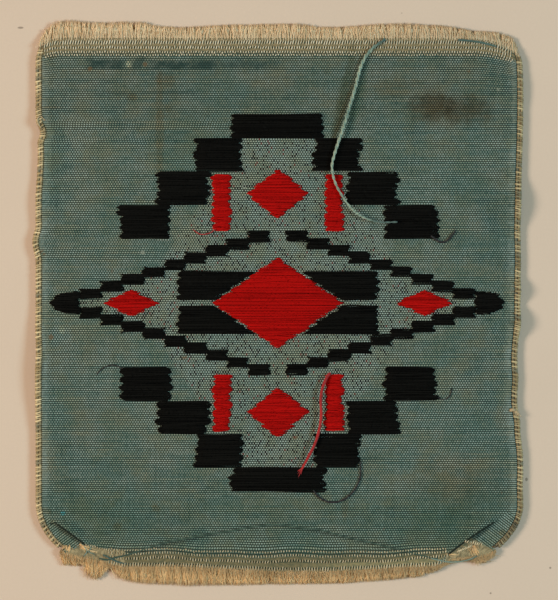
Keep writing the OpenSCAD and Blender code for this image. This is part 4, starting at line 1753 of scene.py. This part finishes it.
@dataclass
class Fringe:
    """Frayed warp ends along the top or the bottom edge, drawn together in locks."""

    shape: ClothShape
    way: Way
    first: float
    last: float
    # Each row is x, distance short of the farthest reach
    tips: Table
    fringe_y: float = 37.9
    lock_pitch: float = 1.15
    per_lock: int = 70
    stitch: float = 0.3534
    curl: float = 1.0
    # How far the middle of a lock strays, as a share of the pitch
    lean: float = 0.22
    # Length that the finish takes for a whole fibre, and how far along a tuft's fibres start
    fibre_long: float = 2.7
    tuft_start: float = 0.35
    # Each row is x and y of the root, x and y of the tip, half widths at both, fibres, height
    tufts: Table = ()
    finish: FibreFinish = FibreFinish()

    def name(self) -> str:
        """Give the name of the fringe's node."""
        return f"fringe_{self.way.name.lower()}"

    def tip_y(self, x: Array) -> Array:
        """Give the height of the tips at each x, as the part's source does."""
        at, short = zip(*self.tips)
        return int(self.way) * (self.fringe_y - np.interp(x, at, short))

    def on_map(self, x: Array, y: Array) -> Array:
        """Give places on the bake's map, by x on the part and height on the map."""
        return pair((x - self.first + 1) / (self.last - self.first + 2), y)

    def build(self) -> Piece:
        """Build the fibres of every lock and let them replace the fringe's node.

        Returns:
            The fringe.
        """
        way = int(self.way)
        strands = Strands(f"{self.name()}_fibres", 3, 11 + way)
        rng = strands.rng
        locks = math.floor((self.last - self.first) / self.lock_pitch)
        edges = np.linspace(self.first, self.last, locks + 1)
        middles = (edges[:-1] + edges[1:]) / 2 + self.lean * self.lock_pitch * uneven(np.arange(locks))
        lock = np.repeat(np.arange(locks), self.per_lock)[:, None]
        one = lock.shape
        start = rng.uniform(0, 1, one)
        root_x = edges[lock] + (edges[lock + 1] - edges[lock]) * (start * 1.10 - 0.05)
        root_x = np.round(root_x / self.stitch) * self.stitch + rng.normal(0, 0.045, one)
        aside = np.clip(start + rng.normal(0, 0.16, one), -0.15, 1.15)
        end_x = middles[lock] + self.lock_pitch * (aside - 0.5) * rng.uniform(0.85, 1.30, locks)[lock]
        profile = np.interp(aside, (0, 0.25, 0.55, 0.8, 1.0), (0.93, 0.99, 1.0, 0.98, 0.93))
        root_y = self.shape.edge_y(way, root_x)
        reach = profile * rng.uniform(0.93, 1.05, one)
        reach = np.where(rng.uniform(0, 1, one) < 0.22, reach * rng.uniform(0.45, 0.85, one), reach)
        end_y = root_y + (self.tip_y(end_x) - root_y) * reach
        layer = rng.uniform(0, 1, one)
        t = np.linspace(0, 1, 6)
        y0 = root_y - way * (0.22 + 0.1 * rng.uniform(-1, 1, one))
        stray = np.where(rng.uniform(0, 1, one) < 0.14, 2.6, 1.0) * self.curl
        x = root_x + (end_x - root_x) * t ** 1.3
        x = x + stray * (rng.normal(0, 0.07, one) * np.sin(t * math.pi * 1.3)
                         + rng.normal(0, 0.05, one) * np.sin(t * math.pi * 2.6)
                         + rng.normal(0, 0.05, one) * t ** 3)
        y = y0 + (end_y - y0) * t
        past = np.clip(way * (y - root_y), 0, 1)
        high = 0.30 + 0.60 * layer ** 0.8 - 0.16 * (2 * aside - 1) ** 2
        fall = 1 - (0.30 + 0.20 * rng.uniform(0, 1, one)) * np.clip(t - 0.25, 0, 1)
        z = (1 - past) * (0.86 + 0.16 * layer) + past * high * fall
        z = np.clip(z + self.shape.edge_lift(x, y) * 0.6, 0.06, None)
        half = 0.5 * rng.uniform(0.065, 0.115, one) * np.interp(t, (0, 0.3, 0.8, 1), (0.9, 1.0, 0.85, 0.3))
        tuft = rng.normal(0, 0.10, locks)[lock]
        # Fibres higher in the lock are painted lighter and lower ones darker: painted light on top, painted
        # shade below
        shade = np.clip(0.40 + 0.32 * layer + 0.8 * tuft + rng.normal(0, 0.15, one), 0, 1)[:, 0]
        strands.lay(np.dstack([x, y, z]), half, half, shade, self.on_map(x, t), (0.0012, 0.0))
        # The threads map holds each fibre's share of its length, for the finish's tips
        for places in strands.threads:
            places[:, 1] /= self.fibre_long
        self.add_core(strands, edges)
        self.add_tufts(strands)
        piece = strands.tie(self.finish.material(), "fringe_fibre")
        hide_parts(self.name())
        return piece

    def add_tufts(self, strands: Strands) -> None:
        """Add the loose tufts at the corners, where the frayed ends lie in other directions.

        Args:
            strands: The fringe's strands.
        """
        rng, t = strands.rng, np.linspace(0, 1, 6)
        for x0, y0, x1, y1, root, tip, fibres, high in self.tufts:
            one = (int(fibres), 1)
            aim = np.array([x1 - x0, y1 - y0])
            aside = np.array([-aim[1], aim[0]]) / np.linalg.norm(aim)
            off = np.clip(rng.normal(0, 0.5, one), -1.2, 1.2)
            far = off * tip + rng.normal(0, 0.25 * tip, one)
            out = off * root * (1 - t) + far * t + rng.normal(0, 0.12, one) * np.sin(t * math.pi * 1.4)
            reach = rng.uniform(0.55, 1.05, one) * t - 0.20 * rng.uniform(0, 1, one) * (1 - t)
            x, y = (at + aim[k] * reach + aside[k] * out for k, at in enumerate((x0, y0)))
            layer = rng.uniform(0, 1, one)
            z = (high * (0.55 + 0.45 * layer)) * (1 - 0.55 * t ** 1.5) + 0.10
            half = 0.5 * rng.uniform(0.05, 0.09, one) * np.interp(t, (0, 0.3, 0.8, 1), (0.9, 1.0, 0.8, 0.25))
            # Fibres higher in the tuft are painted lighter and lower ones darker: painted light on top,
            # painted shade below
            shade = np.clip(0.55 + 0.4 * layer + rng.normal(0, 0.20, one), 0, 1)[:, 0]
            strands.lay(np.dstack([x, y, z]), half, half, shade, self.on_map(x, 0.2 + 0.8 * t),
                        (0.0012, 0.0))
            for places in strands.threads[-3:]:
                places[:, 1] = places[:, 1] / self.fibre_long + self.tuft_start

    def add_core(self, strands: Strands, edges: Array) -> None:
        """Add the dense core that closes each lock below its fibres.

        Args:
            strands: The fringe's strands.
            edges: x of the locks' edges.
        """
        way = int(self.way)
        for i, ends in enumerate(zip(edges[:-1], edges[1:])):
            middle = sum(ends) / 2 + self.lean * self.lock_pitch * float(uneven(i))
            root = self.shape.edge_y(way, np.array(ends)) + way * 0.06
            far = root + (self.tip_y(ends) - root) * (0.60, 0.62)
            x = np.array([*ends, middle + 0.40 * self.lock_pitch, middle - 0.40 * self.lock_pitch])
            ring = np.column_stack([x, np.concatenate([root, far[::-1]])])[::way]
            strands.solid(ring, 0.12, 0.64, 0.60, self.on_map(ring[:, 0], 0.3))


@dataclass
class Heading:
    """Long stitches of the warp ends over the first picks at the top or the bottom."""

    cloth: GroundCloth
    way: Way
    # Each row is the number of the pick from the edge, half length, slant
    picks: Table
    half_x: float
    # Each row is x and y of its start, x and y of its end, stitches, half length, slant
    corner_rows: Table = ()
    finish: FibreFinish = FibreFinish()

    def build(self) -> Piece:
        """Build the stitches of every pick as one piece on the cloth.

        Returns:
            The heading.
        """
        cloth, way = self.cloth, int(self.way)
        rows, warp = cloth.rows(), np.arange(cloth.warp_ends)
        strands = Strands(f"heading_{self.way.name.lower()}_stitches", 4, 70 + way)
        for number, half, slant in self.picks:
            index = number if way < 0 else len(rows) - 1 - number
            left, right = cloth.shape.warp_span(rows[index])
            x0 = left + (right - left) * warp[(warp + index) % 2 == 0] / (cloth.warp_ends - 1)
            x0 = x0[np.abs(x0) < self.half_x][:, None]
            self.lay_row(strands, x0, cloth.bent_row(x0, rows[index]), half, slant, number)
        for x0, y0, x1, y1, count, half, slant in self.corner_rows:
            share = np.linspace(0, 1, count)[:, None]
            self.lay_row(strands, x0 + (x1 - x0) * share, y0 + (y1 - y0) * share, half, slant, 6.0)
        for places in strands.threads:
            places[:, 1] *= 0.2
        return strands.tie(self.finish.material(), "fringe_fibre")

    def lay_row(self, strands: Strands, x0: Array, y0: Array, half: float, slant: float,
                level: float) -> None:
        """Lay one row of stitches.

        Args:
            strands: The heading's strands.
            x0: x of each stitch's middle.
            y0: y of each stitch's middle.
            half: Half length of a stitch.
            slant: How far its upper end lies to the right of its middle.
            level: Place of the row on the bake's map.
        """
        rng, one = strands.rng, x0.shape
        t = np.linspace(-1, 1, 5)
        x = x0 + (slant + rng.normal(0, 0.035, one)) * t + rng.normal(0, 0.014, one)
        y = y0 + half * rng.uniform(0.80, 1.14, one) * t + rng.normal(0, 0.035, one)
        z = self.cloth.shape.over(x, y) - 0.045 + 0.125 * (1 - t ** 4)
        wide = 0.5 * rng.uniform(0.16, 0.23, one) * np.interp(t, (-1, -0.6, 0.6, 1), (0.6, 1, 1, 0.6))
        shade = np.clip(rng.normal(0.60, 0.24, one), 0, 1)[:, 0]
        place = pair((x + 33) / 66, 0.1 + 0.8 * (level + 0.5 + 0.45 * t) / 8)
        strands.lay(np.dstack([x, y, z]), wide, 0.055, shade, place, (0.0022, 0.0))
@dataclass
class FloatPad:
    """One raised pad of the emblem, made of the weft floats that it stands for."""

    node: str
    outline: Ring
    yarn: Yarn
    shape: ClothShape
    # How far the bundles of floats run out of line at the pad's ends
    ragged: float = 0.34
    pitch: float = 0.160
    bundle: float = 1.02
    rise: float = 0.34
    fuzz: float = 5.0
    # Least length of a float
    shortest: float = 0.25
    # Each layer's first float as a share of the pitch, and its height over the cloth
    layers: Table = ((0.35, 0.13), (0.85, 0.27))

    def __post_init__(self) -> None:
        """Measure the outline."""
        self.ring = np.asarray(self.outline, float)
        self.low, self.high = self.ring.min(axis=0), self.ring.max(axis=0)
        self.size = self.high - self.low

    def on_map(self, x: Array, y: Array) -> Array:
        """Give places on the bake's map, which the pad fills."""
        return pair((x - self.low[0]) / self.size[0], (y - self.low[1]) / self.size[1])

    def spans(self, y: float) -> Ring:
        """Give where a weft at height y lies inside the outline.

        Args:
            y: Height of the weft.

        Returns:
            Start and end of each stretch, from left to right.
        """
        hits = sorted(ax + (y - ay) * (bx - ax) / (by - ay)
                      for (ax, ay), (bx, by) in zip(self.ring, np.roll(self.ring, -1, axis=0))
                      if (ay > y) != (by > y))
        return list(zip(hits[::2], hits[1::2]))

    def build(self, material: Material, seed: int) -> Piece:
        """Build two layers of floats over a dense core and let them replace the pad's node.

        Args:
            material: Finish of the yarn.
            seed: Number that sets the unevenness of its floats.

        Returns:
            The pad.
        """
        strands, base = Strands(f"{self.node}_floats", 5, 200 + seed), self.shape.cloth_t
        bottom, top = self.low[1], self.high[1]
        # The bundles that the floats are drawn together in, with their own ends
        bounds = [bottom]
        while bounds[-1] < top:
            bounds.append(bounds[-1] + self.bundle * strands.rng.uniform(0.75, 1.2))
        bounds = np.array(bounds) - (bounds[-1] - top) / 2
        outs = strands.rng.uniform(-0.55, 1.0, (2, len(bounds))) * self.ragged
        for level, (start, high) in enumerate(self.layers):
            found = [(a, b, y) for y in np.arange(bottom + start * self.pitch, top, self.pitch)
                     for a, b in self.spans(float(y)) if b - a > self.shortest]
            a, b, y = (np.array(column)[:, None] for column in zip(*found))
            at = np.clip(np.searchsorted(bounds, y) - 1, 0, len(bounds) - 2)
            middle = (bounds[at] + bounds[at + 1]) / 2
            crest = self.ragged * (0.30 - 0.75 * ((y - middle) / (bounds[at + 1] - bounds[at]) * 2) ** 2)
            ends = (a - outs[0, at] - crest, b + outs[1, at] + crest)
            self.lay_floats(strands, ends, y, middle, base + high, level)
        self.lay_fuzz(strands)
        core = self.core()
        # The core takes the yarn's deepest tone, as painted shade under and between the floats
        strands.solid(core, base + 0.005, base + 0.12, 0.0, self.on_map(*core.T))
        piece = strands.tie(material, self.yarn.value)
        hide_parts(self.node)
        return piece

    def lay_floats(self, strands: Strands, ends: Sequence[Array], y: Array, middle: Array, top: float,
                   level: int) -> None:
        """Lay one layer of floats.

        Args:
            strands: The pad's strands.
            ends: Where each float starts and where it ends.
            y: Height of each float.
            middle: Height of the middle of its bundle.
            top: Height of the layer above the board.
            level: 0 for the lower layer, 1 for the upper one.
        """
        rng, one = strands.rng, y.shape
        a = ends[0] + rng.normal(0.0, 0.045, one) - 0.03
        b = np.maximum(ends[1] + rng.normal(0.0, 0.045, one) + 0.03, a + 0.22)
        long = b - a
        rise = np.minimum(self.rise, 0.45 * long)
        s = np.array([0.0, 0.35, 1.0])
        inner = np.linspace(0, 1, 6 if level else 4)[1:-1]
        x = np.hstack([a + rise * s, a + rise + (long - 2 * rise) * inner, b - rise * s[::-1]])
        turn = np.linspace(0, 1, x.shape[1])
        wave = (rng.normal(0, 0.045, one) * np.sin(turn * math.pi)
                + rng.normal(0, 0.030, one) * np.sin(turn * 3 * math.pi + rng.uniform(0, 6, one)))
        slope = rng.normal(0, 0.05, one) * (2 * turn - 1)
        lift = np.clip(np.minimum(x - a, b - x) / rise, 0, 1)
        peak = top + rng.normal(0, 0.026, one) - 0.05 * (long < 1.0)
        foot = self.shape.cloth_t - 0.03
        z = foot + (peak - foot) * np.sin(lift * math.pi / 2)
        z = z + 0.02 * rng.normal(0, 1, one) * np.sin(turn * 2 * math.pi)
        y = y + wave + slope + (middle - y) * 0.45 * (1 - lift)
        half = 0.5 * rng.uniform(0.150, 0.215, one) * (0.55 + 0.45 * lift)
        # The upper layer is painted a little lighter than the lower one, as painted shade on the lower
        # floats
        shade = np.clip(rng.normal(0.5, 0.20, len(y)) + 0.1 * level, 0, 1)
        strands.lay(np.dstack([x, y, z]), half, half * 0.62, shade, self.on_map(x, y),
                    (0.0, self.pitch / self.size[1]))

    def lay_fuzz(self, strands: Strands) -> None:
        """Lay short broken fibres over the floats.

        Args:
            strands: The pad's strands.
        """
        rng = strands.rng
        count = max(4, int(self.size[0] * self.size[1] * self.fuzz))
        spots = rng.uniform(0, 1, (count, 2)) * self.size + self.low
        spots = spots[outline_reach(spots, [self.outline]) > 0.0]
        one = (len(spots), 1)
        t = np.linspace(-1, 1, 4)
        lean = rng.normal(0, 0.40, one)
        half = rng.uniform(0.12, 0.42, one)
        x = spots[:, :1] + half * t * np.cos(lean)
        y = spots[:, 1:] + half * t * np.sin(lean) + rng.normal(0, 0.06, one) * (1 - t * t)
        z = self.shape.cloth_t + rng.uniform(0.30, 0.38, one) - 0.05 * t * t
        wide = 0.5 * rng.uniform(0.035, 0.060, one) * (1 - 0.6 * np.abs(t))
        strands.lay(np.dstack([x, y, z]), wide, wide, rng.uniform(0.4, 1.0, len(spots)),
                    np.clip(self.on_map(x, y), 0, 1), (0.0, 0.0))

    def core(self) -> Array:
        """Draw the outline in for the dense core.

        Returns:
            The points of the smaller outline, anticlockwise.
        """
        turn = math.copysign(1.0, self.doubled_area(self.ring))
        after = turn * unit(np.roll(self.ring, -1, axis=0) - self.ring)[:, ::-1] * (-1, 1)
        before = np.roll(after, 1, axis=0)
        scale = np.maximum(np.sum((before + after) * before, axis=1), 0.5)
        core = self.ring + (before + after) * ((0.14 + 0.5 * self.ragged) / scale)[:, None]
        return core if self.doubled_area(core) >= 0 else core[::-1]

    @staticmethod
    def doubled_area(ring: Array) -> float:
        """Give twice the area of an outline, above 0 if it runs anticlockwise."""
        after = np.roll(ring, -1, axis=0)
        return float(np.sum(ring[:, 0] * after[:, 1] - after[:, 0] * ring[:, 1]))


LOOSE_YARNS = {
    "red": (PlyFinish("loose_red", (0.42, 0.012, 0.010), (0.20, 0.004, 0.004)), "red_float"),
    "black": (PlyFinish("loose_black", (0.016, 0.016, 0.014), (0.004, 0.004, 0.004)), "black_float"),
    "teal": (PlyFinish("loose_teal", (0.070, 0.135, 0.105), (0.026, 0.062, 0.050)), "pale_thread"),
    "deep": (PlyFinish("loose_deep_teal", (0.042, 0.090, 0.056), (0.017, 0.044, 0.028)), "pale_thread"),
    "pale": (PlyFinish("loose_pale", (0.20, 0.28, 0.21), (0.09, 0.15, 0.11)), "pale_thread"),
    "cream": (PlyFinish("loose_cream", (0.55, 0.43, 0.24), (0.32, 0.24, 0.12)), "fringe_fibre"),
}
# Each end is a name, a yarn, its diameter and its route as x, y and height over the cloth
LOOSE_ENDS = (
    ("red_end", "red", 0.40,
     ((7.0, -9.3, 0.30), (6.5, -9.9, 0.62), (5.9, -11.4, 0.70), (5.7, -13.0, 0.72), (5.75, -15.0, 0.70),
      (5.5, -16.8, 0.74), (4.9, -18.8, 0.72), (3.9, -20.8, 0.62), (3.2, -22.1, 0.55))),
    ("black_loop", "black", 0.24,
     ((4.7, -25.0, 0.30), (5.6, -26.0, 0.22), (7.0, -26.6, 0.20), (8.7, -26.3, 0.22), (10.2, -25.0, 0.22),
      (11.0, -23.2, 0.20), (11.0, -21.6, 0.25))),
    ("black_hook", "black", 0.26,
     ((20.4, 8.95, 0.34), (21.3, 8.35, 0.24), (22.0, 8.1, 0.20), (22.8, 8.5, 0.24), (23.5, 9.4, 0.30))),
    ("black_wisp", "black", 0.15,
     ((-20.6, -8.8, 0.30), (-21.9, -8.3, 0.16), (-23.2, -8.6, 0.12), (-24.1, -9.4, 0.10))),
    ("black_curl", "black", 0.14,
     ((20.9, -12.3, 0.30), (22.0, -12.9, 0.14), (22.9, -12.5, 0.12), (23.2, -11.6, 0.10))),
    ("red_wisp", "red", 0.14,
     ((-8.3, 9.9, 0.40), (-9.2, 9.3, 0.20), (-10.4, 9.2, 0.12), (-11.2, 9.7, 0.10))),
    ("teal_left", "deep", 0.23,
     ((-23.9, -34.1, 0.20), (-22.9, -34.3, 0.20), (-21.8, -34.0, 0.16), (-20.6, -33.75, 0.12),
      (-18.97, -33.27, 0.07), (-17.1, -32.62, 0.07), (-14.7, -31.93, 0.09), (-12.3, -31.44, 0.11),
      (-10.15, -31.0, 0.135), (-6.4, -30.45, 0.17), (-3.74, -29.95, 0.18), (-1.0, -29.55, 0.18))),
    ("teal_branch", "teal", 0.20,
     ((-23.4, -33.6, 0.24), (-22.6, -34.0, 0.24), (-21.6, -34.5, 0.16), (-20.6, -34.8, 0.10))),
    ("teal_right", "deep", 0.18,
     ((-1.3, -29.6, 0.18), (0.3, -29.58, 0.19), (2.94, -29.98, 0.18), (5.1, -30.2, 0.165),
      (6.95, -30.65, 0.15), (9.62, -31.4, 0.12), (12.3, -32.0, 0.09), (14.7, -32.6, 0.075),
      (17.4, -33.27, 0.06), (19.5, -33.8, 0.08), (21.2, -34.2, 0.10))),
    ("pale_right", "pale", 0.20,
     ((20.4, -34.1, 0.10), (21.7, -34.4, 0.12), (23.0, -34.6, 0.14), (24.4, -34.5, 0.16),
      (25.5, -34.25, 0.16), (26.2, -33.95, 0.16))),
    ("pale_left", "pale", 0.17,
     ((-26.4, -31.9, 0.10), (-25.9, -32.5, 0.16), (-25.5, -33.1, 0.14), (-25.8, -33.6, 0.10))),
    ("pale_curl", "pale", 0.15,
     ((-25.3, -32.2, 0.14), (-25.0, -32.7, 0.18), (-25.3, -33.2, 0.16), (-24.7, -33.5, 0.10))),
    ("pale_knot", "cream", 0.46,
     ((31.05, -14.40, 0.02), (31.22, -14.28, 0.14), (31.42, -14.26, 0.15), (31.6, -14.36, 0.05))),
    ("pale_loop", "cream", 0.17,
     ((-31.6, 23.4, 0.10), (-32.0, 23.9, 0.18), (-32.1, 24.6, 0.18), (-31.7, 24.9, 0.16),
      (-31.3, 24.6, 0.10))),
    ("teal_top", "teal", 0.30,
     ((24.0, 35.15, 0.16), (25.6, 35.0, 0.20), (27.2, 34.75, 0.20), (29.0, 34.3, 0.14))),
)


@dataclass
class LooseEnds:
    """Short loose ends that lie on the patch, as the photograph shows them."""

    shape: ClothShape
    hairs: int = 7

    def build(self) -> list[Piece]:
        """Build every loose end."""
        return [self.lay_end(*end, seed) for seed, end in enumerate(LOOSE_ENDS)]

    def lay_end(self, name: str, yarn: str, wide: float, route: Table, seed: int) -> Piece:
        """Lay one loose end, with a frayed tuft where it stops.

        Args:
            name: Name of the end.
            yarn: Its yarn.
            wide: Its diameter.
            route: Points as x, y and height over the cloth.
            seed: Number that sets its unevenness.

        Returns:
            The piece.
        """
        strands, base = Strands(f"loose_{name}", 7, 500 + seed), self.shape.cloth_t
        line = smooth_route(route, 6)
        line[:, 2] = base + self.shape.edge_lift(line[:, 0], line[:, 1]) + line[:, 2]
        share = np.linspace(0, 1, len(line))
        half = 0.5 * wide * np.interp(share, (0, 0.06, 0.9, 1), (0.5, 1.0, 0.95, 0.7))
        half = half * (1 + 0.08 * np.sin(share * 40))
        strands.lay(line[None], half, half * 0.9, 0.5, pair(share, 0.5)[None], (0.0, 0.9))
        t = np.linspace(0, 1, 5)
        aim = unit(line[-1] - line[-3]) + strands.rng.normal(0, 0.32, (self.hairs, 3)) * (1.0, 1.0, 0.15)
        reach = strands.rng.uniform(0.35, 0.9, (self.hairs, 1, 1)) * wide / 0.3
        paths = line[-2] + aim[:, None] * reach * t[:, None]
        paths[..., 2] = np.maximum(paths[..., 2] - 0.12 * t, base + 0.04)
        thin = 0.16 * wide * np.array([1.0, 0.9, 0.8, 0.6, 0.25])
        places = pair(np.full(paths.shape[:2], 0.97), 0.5)
        strands.lay(paths, thin, thin, strands.rng.uniform(0, 1, self.hairs), places, (0.0, 0.0))
        finish, slot = LOOSE_YARNS[yarn]
        return strands.tie(finish.material(), slot)


TOP_TIPS: Table = ((-32.2, 3.4), (-31.2, 1.4), (-30.4, 0.5), (-29, 0.05), (-27.8, 0), (-24, 0.3),
                   (-18.2, 0.2), (-15.8, 0.8), (-13, 0.95), (-6.4, 0.6), (3, 0.45), (5.6, 0.9),
                   (8.3, 0.9), (13.6, 0.5), (16.8, 0.4), (21.6, 0.7), (23.8, 0.9), (25.7, 1.4),
                   (29.7, 1.6), (31.3, 2.3), (32.2, 3.8))
BOTTOM_TUFTS: Table = (
    (-28.1, -32.7, -28.1, -34.9, 0.70, 0.95, 150, 1.0), (-26.9, -32.5, -26.5, -34.9, 0.4, 0.5, 70, 0.9),
    (-25.3, -33.4, -25.5, -36.8, 0.5, 0.45, 80, 0.8), (-24.2, -33.5, -23.9, -36.8, 0.4, 0.5, 70, 0.8),
    (-25.9, -32.5, -22.6, -33.7, 0.3, 0.55, 90, 1.15), (-22.4, -34.0, -21.2, -36.8, 0.5, 0.5, 60, 0.8),
    (26.2, -32.8, 27.3, -35.0, 0.55, 0.6, 150, 1.1), (27.4, -32.8, 27.7, -34.6, 0.4, 0.4, 60, 0.9),
    (28.1, -32.7, 29.0, -33.9, 0.35, 0.35, 50, 0.9), (22.9, -33.5, 26.0, -33.6, 0.25, 0.5, 90, 1.1))
BOTTOM_TIPS: Table = ((-29.4, 3.9), (-28.8, 2.8), (-26.8, 2.6), (-26.2, 3.2), (-25.6, 1.8), (-24.5, 0.6),
                      (-23.4, 1.3), (-22.6, 2.5), (-21.7, 2.4), (-21, 1.0), (-19.8, 0.5), (-17, 0.2),
                      (-12, 0), (8.3, 0.3), (13.6, 0.65), (19, 1.2), (21.1, 1.9), (22.3, 2.7),
                      (24, 3.2), (25.5, 3.3), (26.7, 3.0), (27.8, 3.1), (28.8, 3.9))


# Each row is the number of the pick from the edge, half length, slant
TOP_PICKS: Table = ((1, 0.31, 0.08), (2, 0.22, 0.04), (3, 0.145, 0.02), (4, 0.10, 0.0))
BOTTOM_PICKS: Table = ((1, 0.28, 0.02), (2, 0.21, 0.02), (3, 0.14, 0.0), (4, 0.10, 0.0))
CORNER_ROWS: Table = ((25.0, -31.8, 27.2, -32.2, 9, 0.20, 0.10), (24.1, -33.1, 26.2, -32.4, 9, 0.26, 0.20),
                      (-25.6, -32.3, -22.3, -33.1, 12, 0.11, 0.0))
TOP_FIBRE = FibreFinish(root=0.90, end=1.08)
BOTTOM_FIBRE = FibreFinish("cream_fibre_low", (0.72, 0.505, 0.235), (0.40, 0.255, 0.095),
                           (0.66, 0.475, 0.245), root=0.80, end=1.26)
TOP_STITCH = FibreFinish("warp_stitch_top", (0.72, 0.66, 0.45), (0.45, 0.405, 0.24), (0.60, 0.56, 0.38))
BOTTOM_STITCH = FibreFinish("warp_stitch_bottom", (0.56, 0.48, 0.29), (0.29, 0.25, 0.13),
                            (0.45, 0.39, 0.23), right=1.2)
FLOAT_FINISHES = {
    Yarn.BLACK: FloatFinish("black_floats", (0.0062, 0.0062, 0.0050), (0.0020, 0.0020, 0.0017),
                            (0.014, 0.015, 0.012), 0.4),
    Yarn.RED: FloatFinish("red_floats", (0.44, 0.0050, 0.0036), (0.27, 0.0030, 0.0022),
                          (0.20, 0.010, 0.008), 0.30),
}
# How far the bundles of floats run out of line, by the kind of pad
RAGGED = {"tier": 0.42, "cap": 0.42, "bar": 0.26, "wedge": 0.26, "arm": 0.22, "tip": 0.22, "centre": 0.24,
          "lozenge": 0.24, "diamond": 0.24}


def main() -> None:
    """Build the patch over its frame, piece by piece."""
    logging.basicConfig(level=logging.INFO, format="%(name)s: %(message)s")
    studio = Studio()
    studio.set_camera()
    thread = LooseThread().build()
    studio.set_lights()
    studio.lay_board()
    shape, emblem = ClothShape(), Emblem()
    ground = GroundCloth(shape, emblem)
    cloth = ground.build()
    for (side, inner), cord_finish in CORD_FINISHES.items():
        Selvedge(shape, side, inner).build(cord_finish.material())
    for edge in (
        Fringe(shape, Way.TOP, first=-32.0, last=32.0, tips=TOP_TIPS, finish=TOP_FIBRE),
        Fringe(shape, Way.BOTTOM, first=-29.0, last=29.0, tips=BOTTOM_TIPS, curl=1.8, tufts=BOTTOM_TUFTS,
               finish=BOTTOM_FIBRE),
        Heading(ground, Way.TOP, TOP_PICKS, half_x=31.3, finish=TOP_STITCH),
        Heading(ground, Way.BOTTOM, BOTTOM_PICKS, half_x=22.6, corner_rows=CORNER_ROWS,
                finish=BOTTOM_STITCH),
    ):
        edge.build()
    finishes = {yarn: finish.material() for yarn, finish in FLOAT_FINISHES.items()}
    for seed, (node, (yarn, outline)) in enumerate(emblem.outlines().items()):
        pad = FloatPad(node, outline, yarn, shape, RAGGED[node.split("_")[0]])
        pad.build(finishes[yarn], seed)
    LooseEnds(shape).build()
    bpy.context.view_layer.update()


if __name__ == "__main__":
    main()
